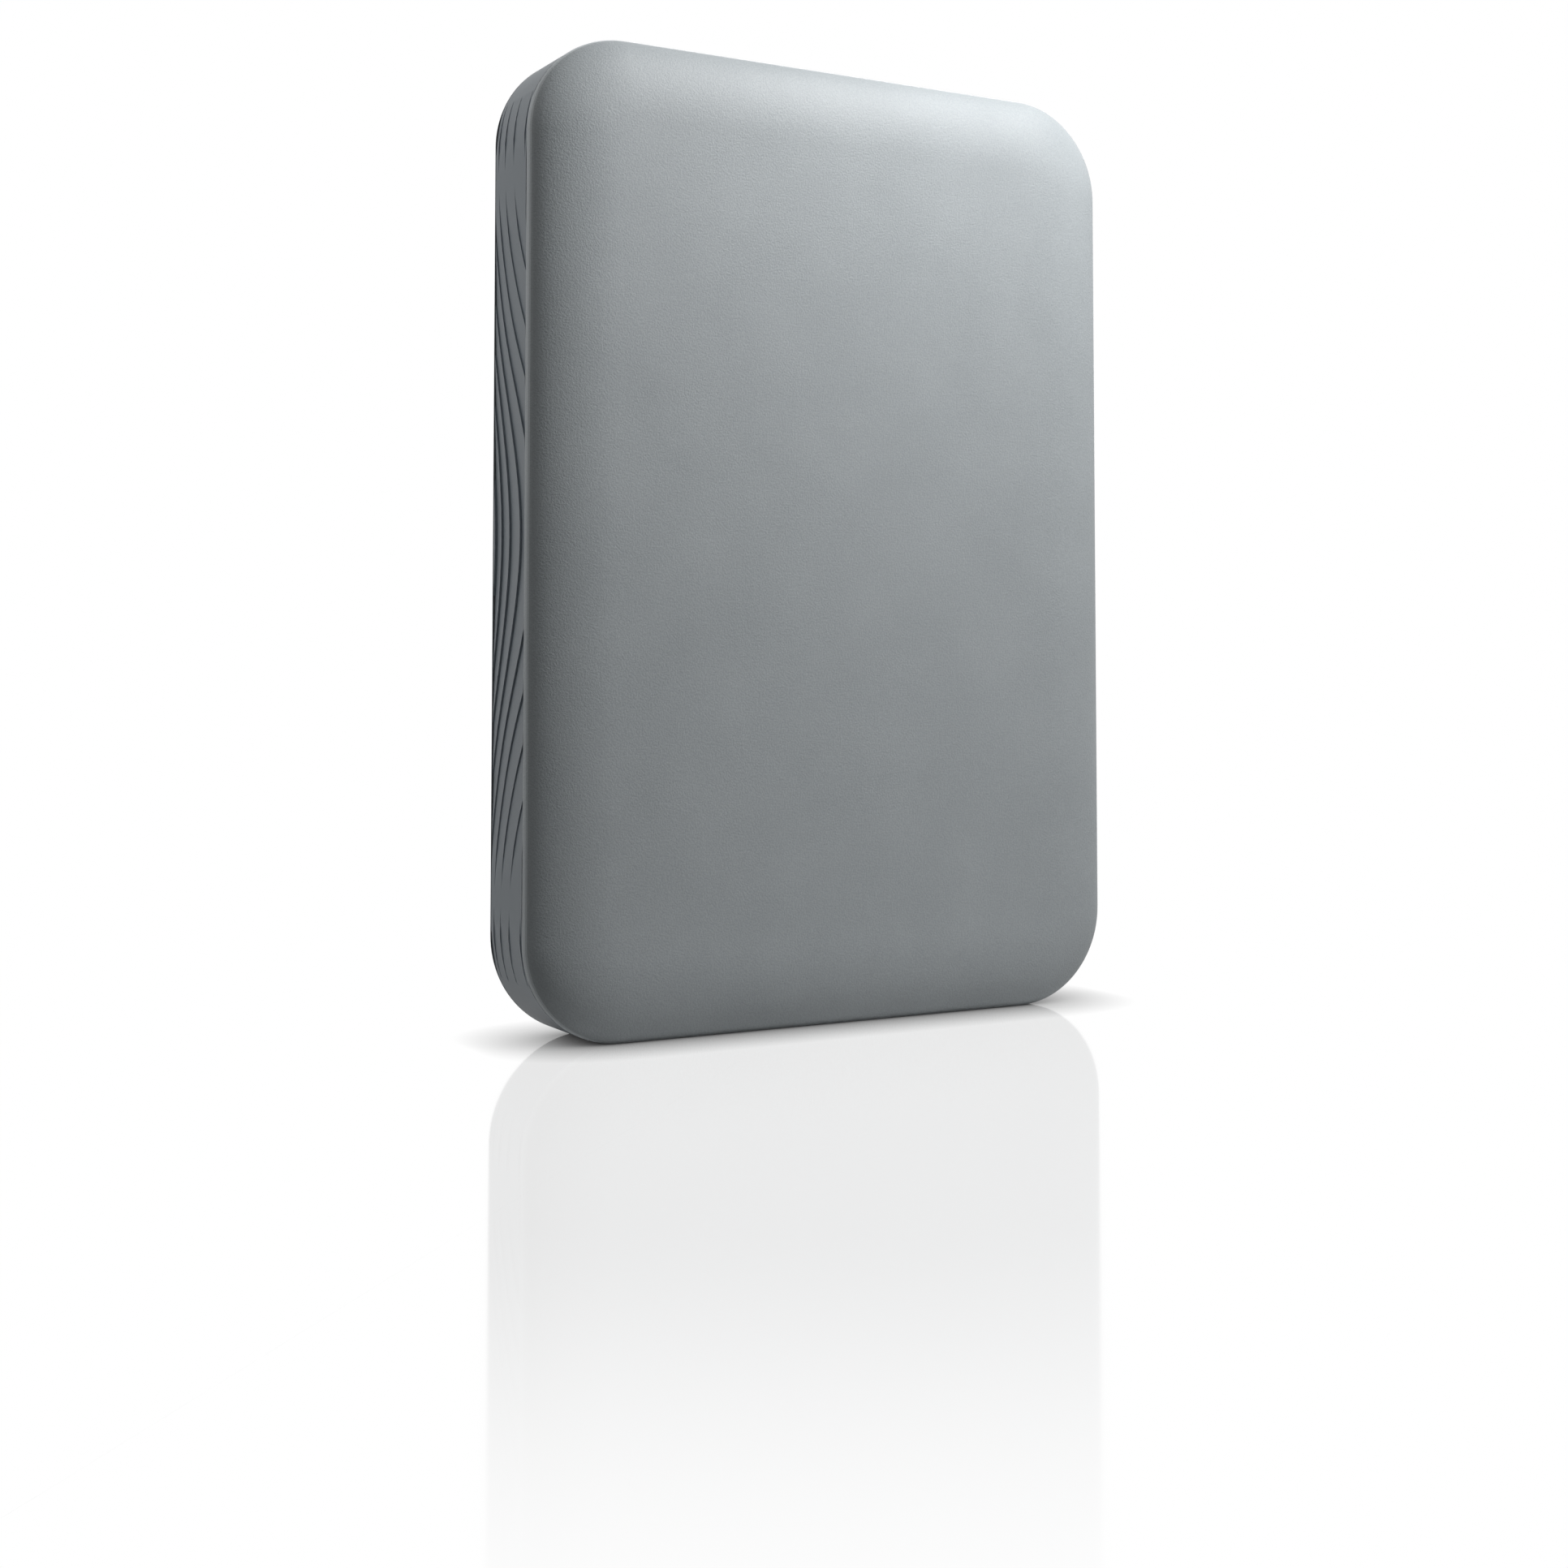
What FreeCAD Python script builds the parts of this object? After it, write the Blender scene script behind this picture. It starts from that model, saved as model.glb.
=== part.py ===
"""Portable external hard drive, standing on its short edge, in millimetres.

A pillow-shaped front cover and a flatter back cover close on a side band with wave ribs.
Inside, rubber corner bumpers and foam pads hold a 2.5-inch drive with one disc, and a bridge board
joins the drive to the USB socket in the top of the band.

X runs across the width, Y from the front face to the back, Z up.
The origin is the middle of the bottom, on the surface that the drive stands on.
"""

import FreeCAD
import Part
import math
import os

Vector = FreeCAD.Vector

# 2.5-inch drive: its envelope sets the size of the case
drive_width = 69.85
drive_length = 100.2
drive_depth = 9.5

# Case: room round the drive, corner, depth of each shell and wall thicknesses
drive_side_room = 8.575
drive_bottom_room = 6.5
drive_top_room = 19.3
corner_radius = 13.0
front_rise = 4.2
band_depth = 9.9
back_rise = 3.5
cover_wall = 1.6
band_wall = 2.2

# Cover edges: a short straight rim, then an elliptical roll up to the flat face
front_rim = 0.35
front_roll_width = 10.5
back_rim = 0.2
back_roll_radius = 6.5
reveal_width = 0.2
reveal_depth = 0.6

# Cover lips that nest inside the band, and the snap beads on them
lip_gap = 0.1
lip_thickness = 1.0
lip_depth = 1.1
snap_bead = 0.35
snap_length = 10.0
snap_height = 0.5
snap_drop = 0.55
snap_clearance = 0.15
snap_spacing = 64.0

# Wave ribs on the long sides of the band
rib_count = 9
rib_first_setback = 0.55
rib_first_pitch = 3.6
rib_pitch_ratio = 0.77
rib_wave_shift = 4.8
rib_wave_half_length = 48.0
rib_depth_middle = 0.32
rib_depth_ends = 0.15
rib_fade_angle = 45.0
rib_fade_lift = 0.08
rib_cutter_reach = 0.8

# Feet on the back
foot_side = 8.0
foot_corner = 2.0
foot_proud = 0.8
foot_from_side = 14.0
foot_from_end = 20.0

# Drive housing
lid_thickness = 0.7
gasket_thickness = 0.5
gasket_inset = 0.3
gasket_width = 1.0
chamber_side_wall = 4.4
chamber_end_wall = 2.2

# Disc and its motor
disc_wall_room = 2.425
disc_hub_room = 2.0
disc_bore = 10.0
disc_thickness = 0.8
disc_side_room = 0.8
seat_clearance = 0.05
running_clearance = 0.05
flange_width = 2.2
flange_thickness = 0.8
spindle_radius = 1.5
spindle_end_room = 0.2
sleeve_wall = 1.65
motor_well_room = 0.8
well_floor = 3.0
rotor_inset = 0.3
magnet_ring_width = 1.2
magnet_ring_height = 1.8
stator_air_gap = 0.4
stator_poles = 9
stator_core_height = 1.0
stator_core_ring = 1.7
stator_pole_width = 1.4
stator_boss_wall = 1.2
stator_boss_height = 1.2
clamp_thickness = 0.7
clamp_radius = 12.0

# Head actuator
pivot_from_top = 21.2
pivot_post_radius = 1.8
pivot_sleeve_wall = 1.65
arm_hub_radius = 5.5
arm_thickness = 0.6
arm_tip_setback = 12.5
arm_root_half_width = 4.2
arm_tip_half_width = 1.6
blade_thickness = 0.15
blade_root_setback = 5.0
blade_tip_half_width = 0.5
slider_length = 1.2
slider_width = 1.0
slider_height = 0.25
fly_gap = 0.1
arm_room = 0.3
head_inner_room = 8.2
lift_tab_length = 2.0
lift_tab_half_width = 0.25
park_room = 1.5

# Voice coil motor round the pivot
coil_inner_radius = 8.5
coil_outer_radius = 17.0
coil_half_angle = 15.0
coil_leg = 2.4
coil_thickness = 0.8
coil_gap = 0.25
magnet_thickness = 0.6
yoke_inner_radius = 7.5
yoke_outer_radius = 18.2
yoke_margin_angle = 13.5
yoke_wall_room = 0.3
yoke_lid_gap = 0.1
yoke_post_half = 0.9
yoke_post_inset = 1.5
yoke_post_margin = 6.5
swing_angle = 30.0

# Load ramp, head flex and air filter
ramp_finger_length = 2.2
ramp_finger_height = 0.25
ramp_finger_gap = 0.05
ramp_post_width = 2.4
ramp_behind_angle = 5.0
ramp_ahead_angle = 1.5
ramp_slider_gap = 0.6
flex_thickness = 0.25
flex_arm_gap = 0.15
flex_loop_width = 6.4
flex_leg = 2.5
flex_bracket_width = 8.0
flex_bracket_lift = 1.5
filter_length = 9.0
filter_thickness = 3.0

# Controller board on the back of the drive and its SATA plug
controller_side_room = 6.925
controller_well_room = 4.0
controller_thickness = 0.7
controller_pocket = 3.2
controller_sunk = 0.4
controller_ledge = 3.0
controller_edge_gap = 0.5
chip_height = 1.0
controller_chip_box = (6.0, 18.0, 12.0, 12.0)
motor_driver_box = (-14.0, 12.0, 7.0, 7.0)
memory_box = (8.0, 32.0, 10.0, 6.0)
sata_side_room = 4.425
sata_body_width = 35.0
sata_body_height = 4.4
sata_body_length = 6.0
sata_blade_width = 31.0
sata_blade_thickness = 1.2
sata_blade_length = 4.5
sata_clearance = 0.1

# Bridge board with its parts
bridge_thickness = 1.0
bridge_plug_margin = 0.5
bridge_lamp_margin = 4.0
bridge_drive_gap = 1.0
bridge_top_gap = 1.8
receptacle_length = 6.4
receptacle_height = 4.8
receptacle_side_wall = 1.2
usb_x = 0.0
usb_large_width = 7.6
usb_small_width = 4.2
usb_neck = 0.5
usb_height = 2.9
usb_neck_height = 1.5
usb_corner_cut = 0.7
usb_wall = 0.3
usb_length = 6.9
usb_tongue_thickness = 0.6
usb_tongue_side_gap = 0.7
usb_tongue_setback = 0.8
usb_block_length = 2.2
usb_hole_gap = 0.15
usb_recess_depth = 0.8
usb_recess_margin = 1.0
led_x = 15.0
led_width = 1.6
led_height = 1.2
pipe_width = 2.4
pipe_height = 1.2
pipe_flange = 0.25
pipe_flange_length = 0.8
pipe_fit = 0.05
pipe_led_gap = 0.3
bridge_chip_x = -20.0
bridge_chip_height = 0.9
chip_side = 7.0
crystal_x = -11.0
crystal_length = 3.2
crystal_width = 2.5
crystal_height = 0.8

# Rubber bumpers and foam pads
bumper_gap = 0.2
bumper_length = 16.0
bumper_grip = 3.0
pad_width = 44.0
front_pad_length = 60.0
back_pad_length = 34.0
back_pad_from_end = 8.0

# Overhang by which a cutting tool passes the face that it cuts
cut_over = 0.5

# Outline of the case
case_width = drive_width + 2 * drive_side_room
case_height = drive_bottom_room + drive_length + drive_top_room

# Planes across the depth of the case
case_depth = front_rise + band_depth + back_rise + foot_proud
front_face = -case_depth / 2
front_parting = front_face + front_rise
back_parting = front_parting + band_depth
back_face = back_parting + back_rise
front_inside = front_face + cover_wall
back_inside = back_face - cover_wall

# Lip of each cover, as distances inwards from the outline
lip_outer = band_wall + lip_gap
lip_inner = lip_outer + lip_thickness

# Drive envelope, centred between the insides of the two covers
drive_half = drive_width / 2
drive_front = (front_inside + back_inside - drive_depth) / 2
drive_back = drive_front + drive_depth
drive_bottom = drive_bottom_room
drive_top = drive_bottom + drive_length
lid_under = drive_front + lid_thickness
base_rim = lid_under + gasket_thickness
motor_floor = drive_back - well_floor

# Spindle and pivot centres, and the disc that fits between the walls and the arm hub
spindle_x = 0.0
spindle_z = drive_bottom + drive_half
pivot_x = spindle_x + drive_half - chamber_side_wall - yoke_outer_radius - yoke_wall_room
pivot_z = drive_top - pivot_from_top
pivot_distance = math.hypot(pivot_x - spindle_x, pivot_z - spindle_z)
disc_radius = min(drive_half - disc_wall_room, pivot_distance - arm_hub_radius - disc_hub_room)

# Levels of the arms, heads and disc, from the lid down to the chamber floor
head_height = blade_thickness + slider_height + fly_gap
front_arm = lid_under + arm_room
disc_front = front_arm + arm_thickness + head_height
disc_back = disc_front + disc_thickness
back_arm = disc_back + head_height
cavity_floor = back_arm + arm_thickness + arm_room
hub_under = disc_back + flange_thickness
clamp_front = disc_front - clamp_thickness

# Radii shared by the pieces of the spindle and the pivot
flange_radius = disc_bore + flange_width
rotor_outer = flange_radius - rotor_inset
rotor_inner = rotor_outer - magnet_ring_width
sleeve_radius = spindle_radius + running_clearance + sleeve_wall
pivot_sleeve_radius = pivot_post_radius + running_clearance + pivot_sleeve_wall

# Reach and parked direction of the arms
head_reach = pivot_distance - head_inner_room
arm_length = head_reach - arm_tip_setback
park_radius = disc_radius + park_room
toward_spindle = math.degrees(math.atan2(spindle_z - pivot_z, spindle_x - pivot_x))
park_cosine = (pivot_distance**2 + head_reach**2 - park_radius**2) / (2 * pivot_distance * head_reach)
park_angle = toward_spindle - math.degrees(math.acos(park_cosine))
coil_angle = park_angle + 180.0
coil_front = (disc_front + disc_back - coil_thickness) / 2
coil_back = coil_front + coil_thickness
lower_yoke_face = coil_back + coil_gap + magnet_thickness
upper_yoke_face = coil_front - coil_gap - magnet_thickness
yoke_start = coil_angle - coil_half_angle - yoke_margin_angle
yoke_end = coil_angle + coil_half_angle + swing_angle + yoke_margin_angle
flex_front = front_arm + arm_thickness + flex_arm_gap
flex_left = pivot_x - arm_hub_radius - seat_clearance - flex_loop_width

# Controller board, SATA plug and bridge board
controller_width = drive_width - 2 * controller_side_room
controller_bottom = spindle_z + flange_radius + motor_well_room + controller_well_room
sata_offset = -(drive_half - sata_side_room - sata_body_width / 2)
bridge_left = sata_offset - sata_body_width / 2 - bridge_plug_margin
bridge_right = led_x + bridge_lamp_margin
controller_outer = drive_back - controller_sunk
controller_inner = controller_outer - controller_thickness
sata_plane = controller_inner - sata_body_height / 2
bridge_front = sata_plane + receptacle_height / 2
bridge_bottom = drive_top + bridge_drive_gap
bridge_top = case_height - band_wall - bridge_top_gap
usb_plane = bridge_front - usb_height / 2
usb_mouth = case_height - usb_recess_depth
pipe_plane = bridge_front - led_height / 2


def block(x0, x1, y0, y1, z0, z1):
    """Box between two corners."""
    return Part.makeBox(x1 - x0, y1 - y0, z1 - z0, Vector(x0, y0, z0))


def disc(x, z, radius, y0, y1):
    """Cylinder along Y between two planes."""
    return Part.makeCylinder(radius, y1 - y0, Vector(x, y0, z), Vector(0, 1, 0))


def ring(x, z, outer, inner, y0, y1):
    """Flat ring along Y."""
    return disc(x, z, outer, y0, y1).cut(disc(x, z, inner, y0 - cut_over, y1 + cut_over))


def turned(x, z, points):
    """Solid of revolution about an axis along Y from (radius, y) points."""
    outline = [Vector(x + radius, y, z) for radius, y in points]
    face = Part.Face(Part.makePolygon(outline + outline[:1]))
    return face.revolve(Vector(x, 0, z), Vector(0, 1, 0), 360)


def prism(points, y0, y1):
    """Straight prism along Y from (x, z) points."""
    outline = [Vector(x, y0, z) for x, z in points]
    return Part.Face(Part.makePolygon(outline + outline[:1])).extrude(Vector(0, y1 - y0, 0))


def polar(radius, angle):
    """Point at a radius and an angle round the pivot, seen from the front."""
    turn = math.radians(angle)
    return (pivot_x + radius * math.cos(turn), pivot_z + radius * math.sin(turn))


def sector(inner, outer, start, end, y0, y1):
    """Part of a flat ring round the pivot, between two angles."""
    def point(radius, angle):
        x, z = polar(radius, angle)
        return Vector(x, y0, z)

    middle = (start + end) / 2
    edges = [
        Part.Arc(point(outer, start), point(outer, middle), point(outer, end)).toShape(),
        Part.LineSegment(point(outer, end), point(inner, end)).toShape(),
        Part.Arc(point(inner, end), point(inner, middle), point(inner, start)).toShape(),
        Part.LineSegment(point(inner, start), point(outer, start)).toShape(),
    ]
    return Part.Face(Part.Wire(edges)).extrude(Vector(0, y1 - y0, 0))


def rounded_plate(x0, x1, z0, z1, radius, y0, y1):
    """Plate along Y with four rounded corners."""
    bend = radius * (1 - math.sqrt(0.5))
    corners = [
        ((x1 - radius, z0), (x1 - bend, z0 + bend), (x1, z0 + radius)),
        ((x1, z1 - radius), (x1 - bend, z1 - bend), (x1 - radius, z1)),
        ((x0 + radius, z1), (x0 + bend, z1 - bend), (x0, z1 - radius)),
        ((x0, z0 + radius), (x0 + bend, z0 + bend), (x0 + radius, z0)),
    ]
    edges = []
    for corner, following in zip(corners, corners[1:] + corners[:1]):
        start, middle, end = [Vector(x, y0, z) for x, z in corner]
        next_start = Vector(following[0][0], y0, following[0][1])
        edges.append(Part.Arc(start, middle, end).toShape())
        edges.append(Part.LineSegment(end, next_start).toShape())
    return Part.Face(Part.Wire(edges)).extrude(Vector(0, y1 - y0, 0))


def case_prism(inset, y0, y1):
    """The case outline, moved inwards by inset, as a prism between two planes."""
    half = case_width / 2 - inset
    return rounded_plate(-half, half, inset, case_height - inset, corner_radius - inset, y0, y1)


def fused(shapes):
    """One solid from several that meet."""
    return shapes[0].multiFuse(shapes[1:]).removeSplitter()


def mirrored_x(shape):
    """Copy on the other side of the middle plane."""
    return shape.mirror(Vector(0, 0, 0), Vector(1, 0, 0))


class CoverEdge:
    """Rolled edge of a cover: distances inwards from the outline and heights above the parting plane."""

    def __init__(self, rise, rim, roll_width, roll_rise):
        self.rise = rise
        self.rim = rim
        self.roll_width = roll_width
        self.roll_rise = roll_rise
        self.start = math.asin((rim - rise + roll_rise) / roll_rise)
        self.width = roll_width * math.cos(self.start)

    def inside_height(self, inwards):
        """Height of the sloped inside of the cover at a distance inwards from the outline."""
        run = (self.width - lip_inner) / (self.roll_width - cover_wall)
        lip_height = self.rise - self.roll_rise + (self.roll_rise - cover_wall) * math.sqrt(1 - run**2)
        slope = (self.rise - cover_wall - lip_height) / (self.width - lip_inner)
        return lip_height + slope * (inwards - lip_inner)

    def roll(self, place):
        """Edge from the rim to the flat face, as part of an ellipse."""
        low = self.rise - self.roll_rise
        centre = place(self.width, low)
        ellipse = Part.Ellipse(place(self.width - self.roll_width, low), place(self.width, self.rise), centre)
        return Part.ArcOfEllipse(ellipse, self.start, math.pi / 2).toShape()

    def section(self, place):
        """Section of the cover, from its rim over the face to its inside and the parting plane."""
        inside = self.rise - cover_wall
        edges = [self.roll(place)]
        edges += lines(place, [
            (self.width, self.rise), (corner_radius, self.rise), (corner_radius, inside),
            (self.width, inside), (lip_inner, self.inside_height(lip_inner)), (lip_inner, 0),
            (reveal_depth, 0), (reveal_depth, reveal_width),
        ])
        if self.rim > reveal_width:
            edges += lines(place, [(reveal_depth, reveal_width), (0, reveal_width), (0, self.rim)])
        else:
            edges += lines(place, [(reveal_depth, reveal_width), (0, self.rim)])
        return Part.Face(Part.Wire(edges))


def lines(place, points):
    """Straight edges through section points."""
    placed = [place(*point) for point in points]
    return [Part.LineSegment(a, b).toShape() for a, b in zip(placed, placed[1:])]


def case_sweep(section, parting, toward, low, high):
    """Carries a section round the case outline and fills the middle between two heights."""
    half = case_width / 2
    centre_x = half - corner_radius
    side = section(lambda inwards, height: Vector(-half + inwards, parting + toward * height, corner_radius))
    end = section(lambda inwards, height: Vector(-centre_x, parting + toward * height, inwards))
    straight_height = case_height - 2 * corner_radius
    left = side.extrude(Vector(0, 0, straight_height))
    bottom = end.extrude(Vector(2 * centre_x, 0, 0))
    corner = side.revolve(Vector(-centre_x, 0, corner_radius), Vector(0, -1, 0), 90)
    middle_plane = Vector(0, 0, case_height / 2)
    top = bottom.mirror(middle_plane, Vector(0, 0, 1))
    upper_corner = corner.mirror(middle_plane, Vector(0, 0, 1))
    y_low = parting + toward * low
    y_high = parting + toward * high
    core = block(
        -centre_x, centre_x, min(y_low, y_high), max(y_low, y_high),
        corner_radius, case_height - corner_radius,
    )
    pieces = [core, left, mirrored_x(left), bottom, top, corner, mirrored_x(corner)]
    return fused(pieces + [upper_corner, mirrored_x(upper_corner)])


def snap_blocks(parting, toward, grow):
    """Snap beads of one cover, as boxes, or the pockets for them where grow is a clearance."""
    outer = lip_outer - snap_bead - grow
    inner = lip_outer + (0 if grow else lip_thickness / 2)
    near = parting - toward * (snap_drop - grow)
    far = parting - toward * (snap_drop + snap_height + grow)
    half_length = snap_length / 2 + grow
    half_width = case_width / 2
    beads = []
    for shift in (-snap_spacing / 2, snap_spacing / 2):
        middle = case_height / 2 + shift
        left = block(
            -half_width + outer, -half_width + inner, min(near, far), max(near, far),
            middle - half_length, middle + half_length,
        )
        beads += [left, mirrored_x(left)]
    return beads


def lip_blocks(parting, toward):
    """Lips of one cover, one along each straight side."""
    y_low, y_high = sorted((parting, parting - toward * lip_depth))
    half = case_width / 2
    straight = half - corner_radius
    left = block(-half + lip_outer, -half + lip_inner, y_low, y_high, corner_radius, case_height - corner_radius)
    bottom = block(-straight, straight, y_low, y_high, lip_outer, lip_inner)
    top = block(-straight, straight, y_low, y_high, case_height - lip_inner, case_height - lip_outer)
    return [left, mirrored_x(left), bottom, top]


def make_cover(edge, parting, toward):
    """Shell with a rolled edge, lips that nest in the band and snap beads on the lips."""
    shell = case_sweep(edge.section, parting, toward, edge.rise - cover_wall, edge.rise)
    return fused([shell] + lip_blocks(parting, toward) + snap_blocks(parting, toward, 0.0))


front_edge = CoverEdge(front_rise, front_rim, front_roll_width, front_rise - front_rim)
back_edge = CoverEdge(back_rise, back_rim, back_roll_radius, back_roll_radius)


def make_front_cover():
    """Pillow-shaped front cover."""
    return make_cover(front_edge, front_parting, -1)


def foot_places():
    """Name and centre of each foot."""
    columns = {"left": -case_width / 2 + foot_from_side, "right": case_width / 2 - foot_from_side}
    rows = {"bottom": foot_from_end, "top": case_height - foot_from_end}
    return {f"foot_{row}_{column}": (x, z) for row, z in rows.items() for column, x in columns.items()}


def make_back_cover():
    """Back cover, lower than the front one and with a tighter edge."""
    return make_cover(back_edge, back_parting, 1)


def make_foot(x, z):
    """Rubber foot on the flat of the back cover."""
    half = foot_side / 2
    return rounded_plate(
        x - half, x + half, z - half, z + half, foot_corner, back_face, back_face + foot_proud
    )


def rib_setback(index, wave):
    """Distance of a rib line behind the front parting plane; wave is 0 at the ends and 1 at mid-height."""
    place = index - rib_wave_shift * wave
    total = rib_first_pitch / (1 - rib_pitch_ratio)
    return rib_first_setback + total * (1 - rib_pitch_ratio**place)


def rib_stations():
    """Places along the left side: outline point, inward direction, wave and depth of the ribs there."""
    half = case_width / 2
    straight = case_height / 2 - corner_radius
    straight_steps = 4
    fade_steps = 2
    stations = []
    for step in range(-straight_steps, straight_steps + 1):
        along = straight * step / straight_steps
        turn = math.pi / 2 * min(abs(along) / rib_wave_half_length, 1.0)
        wave = math.cos(turn) ** 2
        depth = rib_depth_ends + (rib_depth_middle - rib_depth_ends) * wave
        stations.append((-half, case_height / 2 + along, 1.0, 0.0, wave, depth))
    for step in range(1, fade_steps + 1):
        turn = math.radians(rib_fade_angle * step / fade_steps)
        depth = rib_depth_ends - (rib_depth_ends + rib_fade_lift) * step / fade_steps
        x = -half + corner_radius * (1 - math.cos(turn))
        rise = straight + corner_radius * math.sin(turn)
        inward_x, inward_z = math.cos(turn), math.sin(turn)
        stations.insert(0, (x, case_height / 2 - rise, inward_x, inward_z, 0.0, depth))
        stations.append((x, case_height / 2 + rise, inward_x, -inward_z, 0.0, depth))
    return stations


def rib_cutter(index):
    """Wedge that leaves a step at one rib line and a facet that rises towards the line in front of it."""
    outside, root, toe = [], [], []
    for x, z, inward_x, inward_z, wave, depth in rib_stations():
        line = rib_setback(index, wave)
        pitch = line - rib_setback(index - 1, wave)
        facet_end = 1.6
        facet_crest = 1.15
        toe_depth = depth * (1 - facet_end / facet_crest)
        y_line = front_parting + line
        y_toe = y_line - facet_end * pitch
        if depth < 0:
            toe_depth = depth - rib_fade_lift
        outside.append(Vector(x - rib_cutter_reach * inward_x, y_line, z - rib_cutter_reach * inward_z))
        root.append(Vector(x + depth * inward_x, y_line, z + depth * inward_z))
        toe.append(Vector(x + toe_depth * inward_x, y_toe, z + toe_depth * inward_z))

    def spline(points):
        curve = Part.BSplineCurve()
        curve.interpolate(points)
        return curve.toShape()

    rails = [spline(outside), spline(root), spline(toe)]
    faces = [Part.makeRuledSurface(a, b) for a, b in zip(rails, rails[1:] + rails[:1])]
    for end in (0, -1):
        faces.append(Part.Face(Part.makePolygon([outside[end], root[end], toe[end], outside[end]])))
    solid = Part.Solid(Part.Shell(Part.Compound(faces).Faces))
    return solid


def usb_outline(grow):
    """Outline of the USB socket in X and Y: a wide lobe, a neck and a narrow lobe with cut corners."""
    half_height = usb_height / 2 + grow
    half_neck = usb_neck_height / 2 + grow
    total = usb_large_width + usb_neck + usb_small_width
    large_left = usb_x - total / 2 - grow
    large_right = usb_x - total / 2 + usb_large_width + grow
    small_left = usb_x + total / 2 - usb_small_width - grow
    small_right = usb_x + total / 2 + grow
    low, high = usb_plane - half_height, usb_plane + half_height
    cut = usb_corner_cut
    return [
        (large_left, low + cut), (large_left + cut, low), (large_right - cut, low),
        (large_right, usb_plane - half_neck), (small_left, usb_plane - half_neck),
        (small_left + cut, low), (small_right - cut, low), (small_right, low + cut),
        (small_right, high), (small_left, high), (small_left, usb_plane + half_neck),
        (large_right, usb_plane + half_neck), (large_right, high), (large_left, high),
    ]


def upright_prism(points, z0, z1):
    """Straight prism along Z from (x, y) points."""
    outline = [Vector(x, y, z0) for x, y in points]
    return Part.Face(Part.makePolygon(outline + outline[:1])).extrude(Vector(0, 0, z1 - z0))


def make_side_band():
    """Ring between the covers with wave ribs on the long sides and the socket opening in the top."""
    band = case_prism(0, front_parting, back_parting)
    band = band.cut(case_prism(band_wall, front_parting - cut_over, back_parting + cut_over))
    cutters = []
    for index in range(rib_count):
        wedge = rib_cutter(index)
        cutters += [wedge, mirrored_x(wedge)]
    cutters += snap_blocks(front_parting, -1, snap_clearance)
    cutters += snap_blocks(back_parting, 1, snap_clearance)
    inner_top = case_height - band_wall - cut_over
    cutters.append(upright_prism(usb_outline(usb_hole_gap), inner_top, case_height + cut_over))
    total = usb_large_width + usb_neck + usb_small_width + 2 * usb_recess_margin
    deep = usb_height + 2 * usb_recess_margin
    cutters.append(
        block(
            usb_x - total / 2, usb_x + total / 2, usb_plane - deep / 2, usb_plane + deep / 2,
            usb_mouth, case_height + cut_over,
        )
    )
    cutters.append(pipe_shape(pipe_fit, inner_top, case_height + cut_over))
    return band.cut(cutters).removeSplitter()


def pipe_shape(grow, z0, z1):
    """Upright bar of the light pipe's section, grown by a clearance."""
    half_width = pipe_width / 2 + grow
    half_height = pipe_height / 2 + grow
    return block(
        led_x - half_width, led_x + half_width, pipe_plane - half_height, pipe_plane + half_height, z0, z1
    )


def make_light_pipe():
    """Clear bar from the lamp to the top of the band, with a flange under the wall."""
    flange_top_z = case_height - band_wall
    bar = pipe_shape(0, bridge_top + pipe_led_gap, case_height)
    flange = pipe_shape(pipe_flange, flange_top_z - pipe_flange_length, flange_top_z)
    return bar.fuse(flange).removeSplitter()


def make_bumper(side, end):
    """Rubber corner that grips the drive and fills the space to the cover lips."""
    inset = lip_inner + bumper_gap
    y0 = front_parting - front_edge.inside_height(inset) + bumper_gap
    y1 = back_parting + back_edge.inside_height(inset) - bumper_gap
    room = case_prism(inset, y0, y1)
    inner = drive_half - bumper_grip
    outer = case_width / 2
    x0, x1 = (inner, outer) if side > 0 else (-outer, -inner)
    if end > 0:
        z0, z1 = drive_top - bumper_length, drive_top + drive_bottom_room
    else:
        z0, z1 = 0, drive_bottom + bumper_length
    envelope = block(-drive_half, drive_half, drive_front, drive_back, drive_bottom, drive_top)
    return room.common(block(x0, x1, y0, y1, z0, z1)).cut(envelope)


def make_front_pad():
    """Foam pad between the drive lid and the front cover."""
    middle = (drive_bottom + drive_top) / 2
    return block(
        -pad_width / 2, pad_width / 2, front_inside, drive_front,
        middle - front_pad_length / 2, middle + front_pad_length / 2,
    )


def make_back_pad():
    """Foam pad between the drive base and the back cover."""
    low = drive_bottom + back_pad_from_end
    return block(-pad_width / 2, pad_width / 2, drive_back, back_inside, low, low + back_pad_length)


def drive_plate(inset, y0, y1):
    """The drive outline, moved inwards, as a plate."""
    half = drive_half - inset
    return block(-half, half, y0, y1, drive_bottom + inset, drive_top - inset)


def controller_ledges():
    """Four blocks in the board pocket that the controller board rests on."""
    half = controller_width / 2
    low = controller_bottom
    high = drive_top - sata_body_length - controller_edge_gap
    pocket_floor = drive_back - controller_pocket
    ledges = []
    for z in (low, high - controller_ledge):
        right = block(half - controller_ledge, half, pocket_floor, controller_inner, z, z + controller_ledge)
        ledges += [right, mirrored_x(right)]
    return ledges


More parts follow.
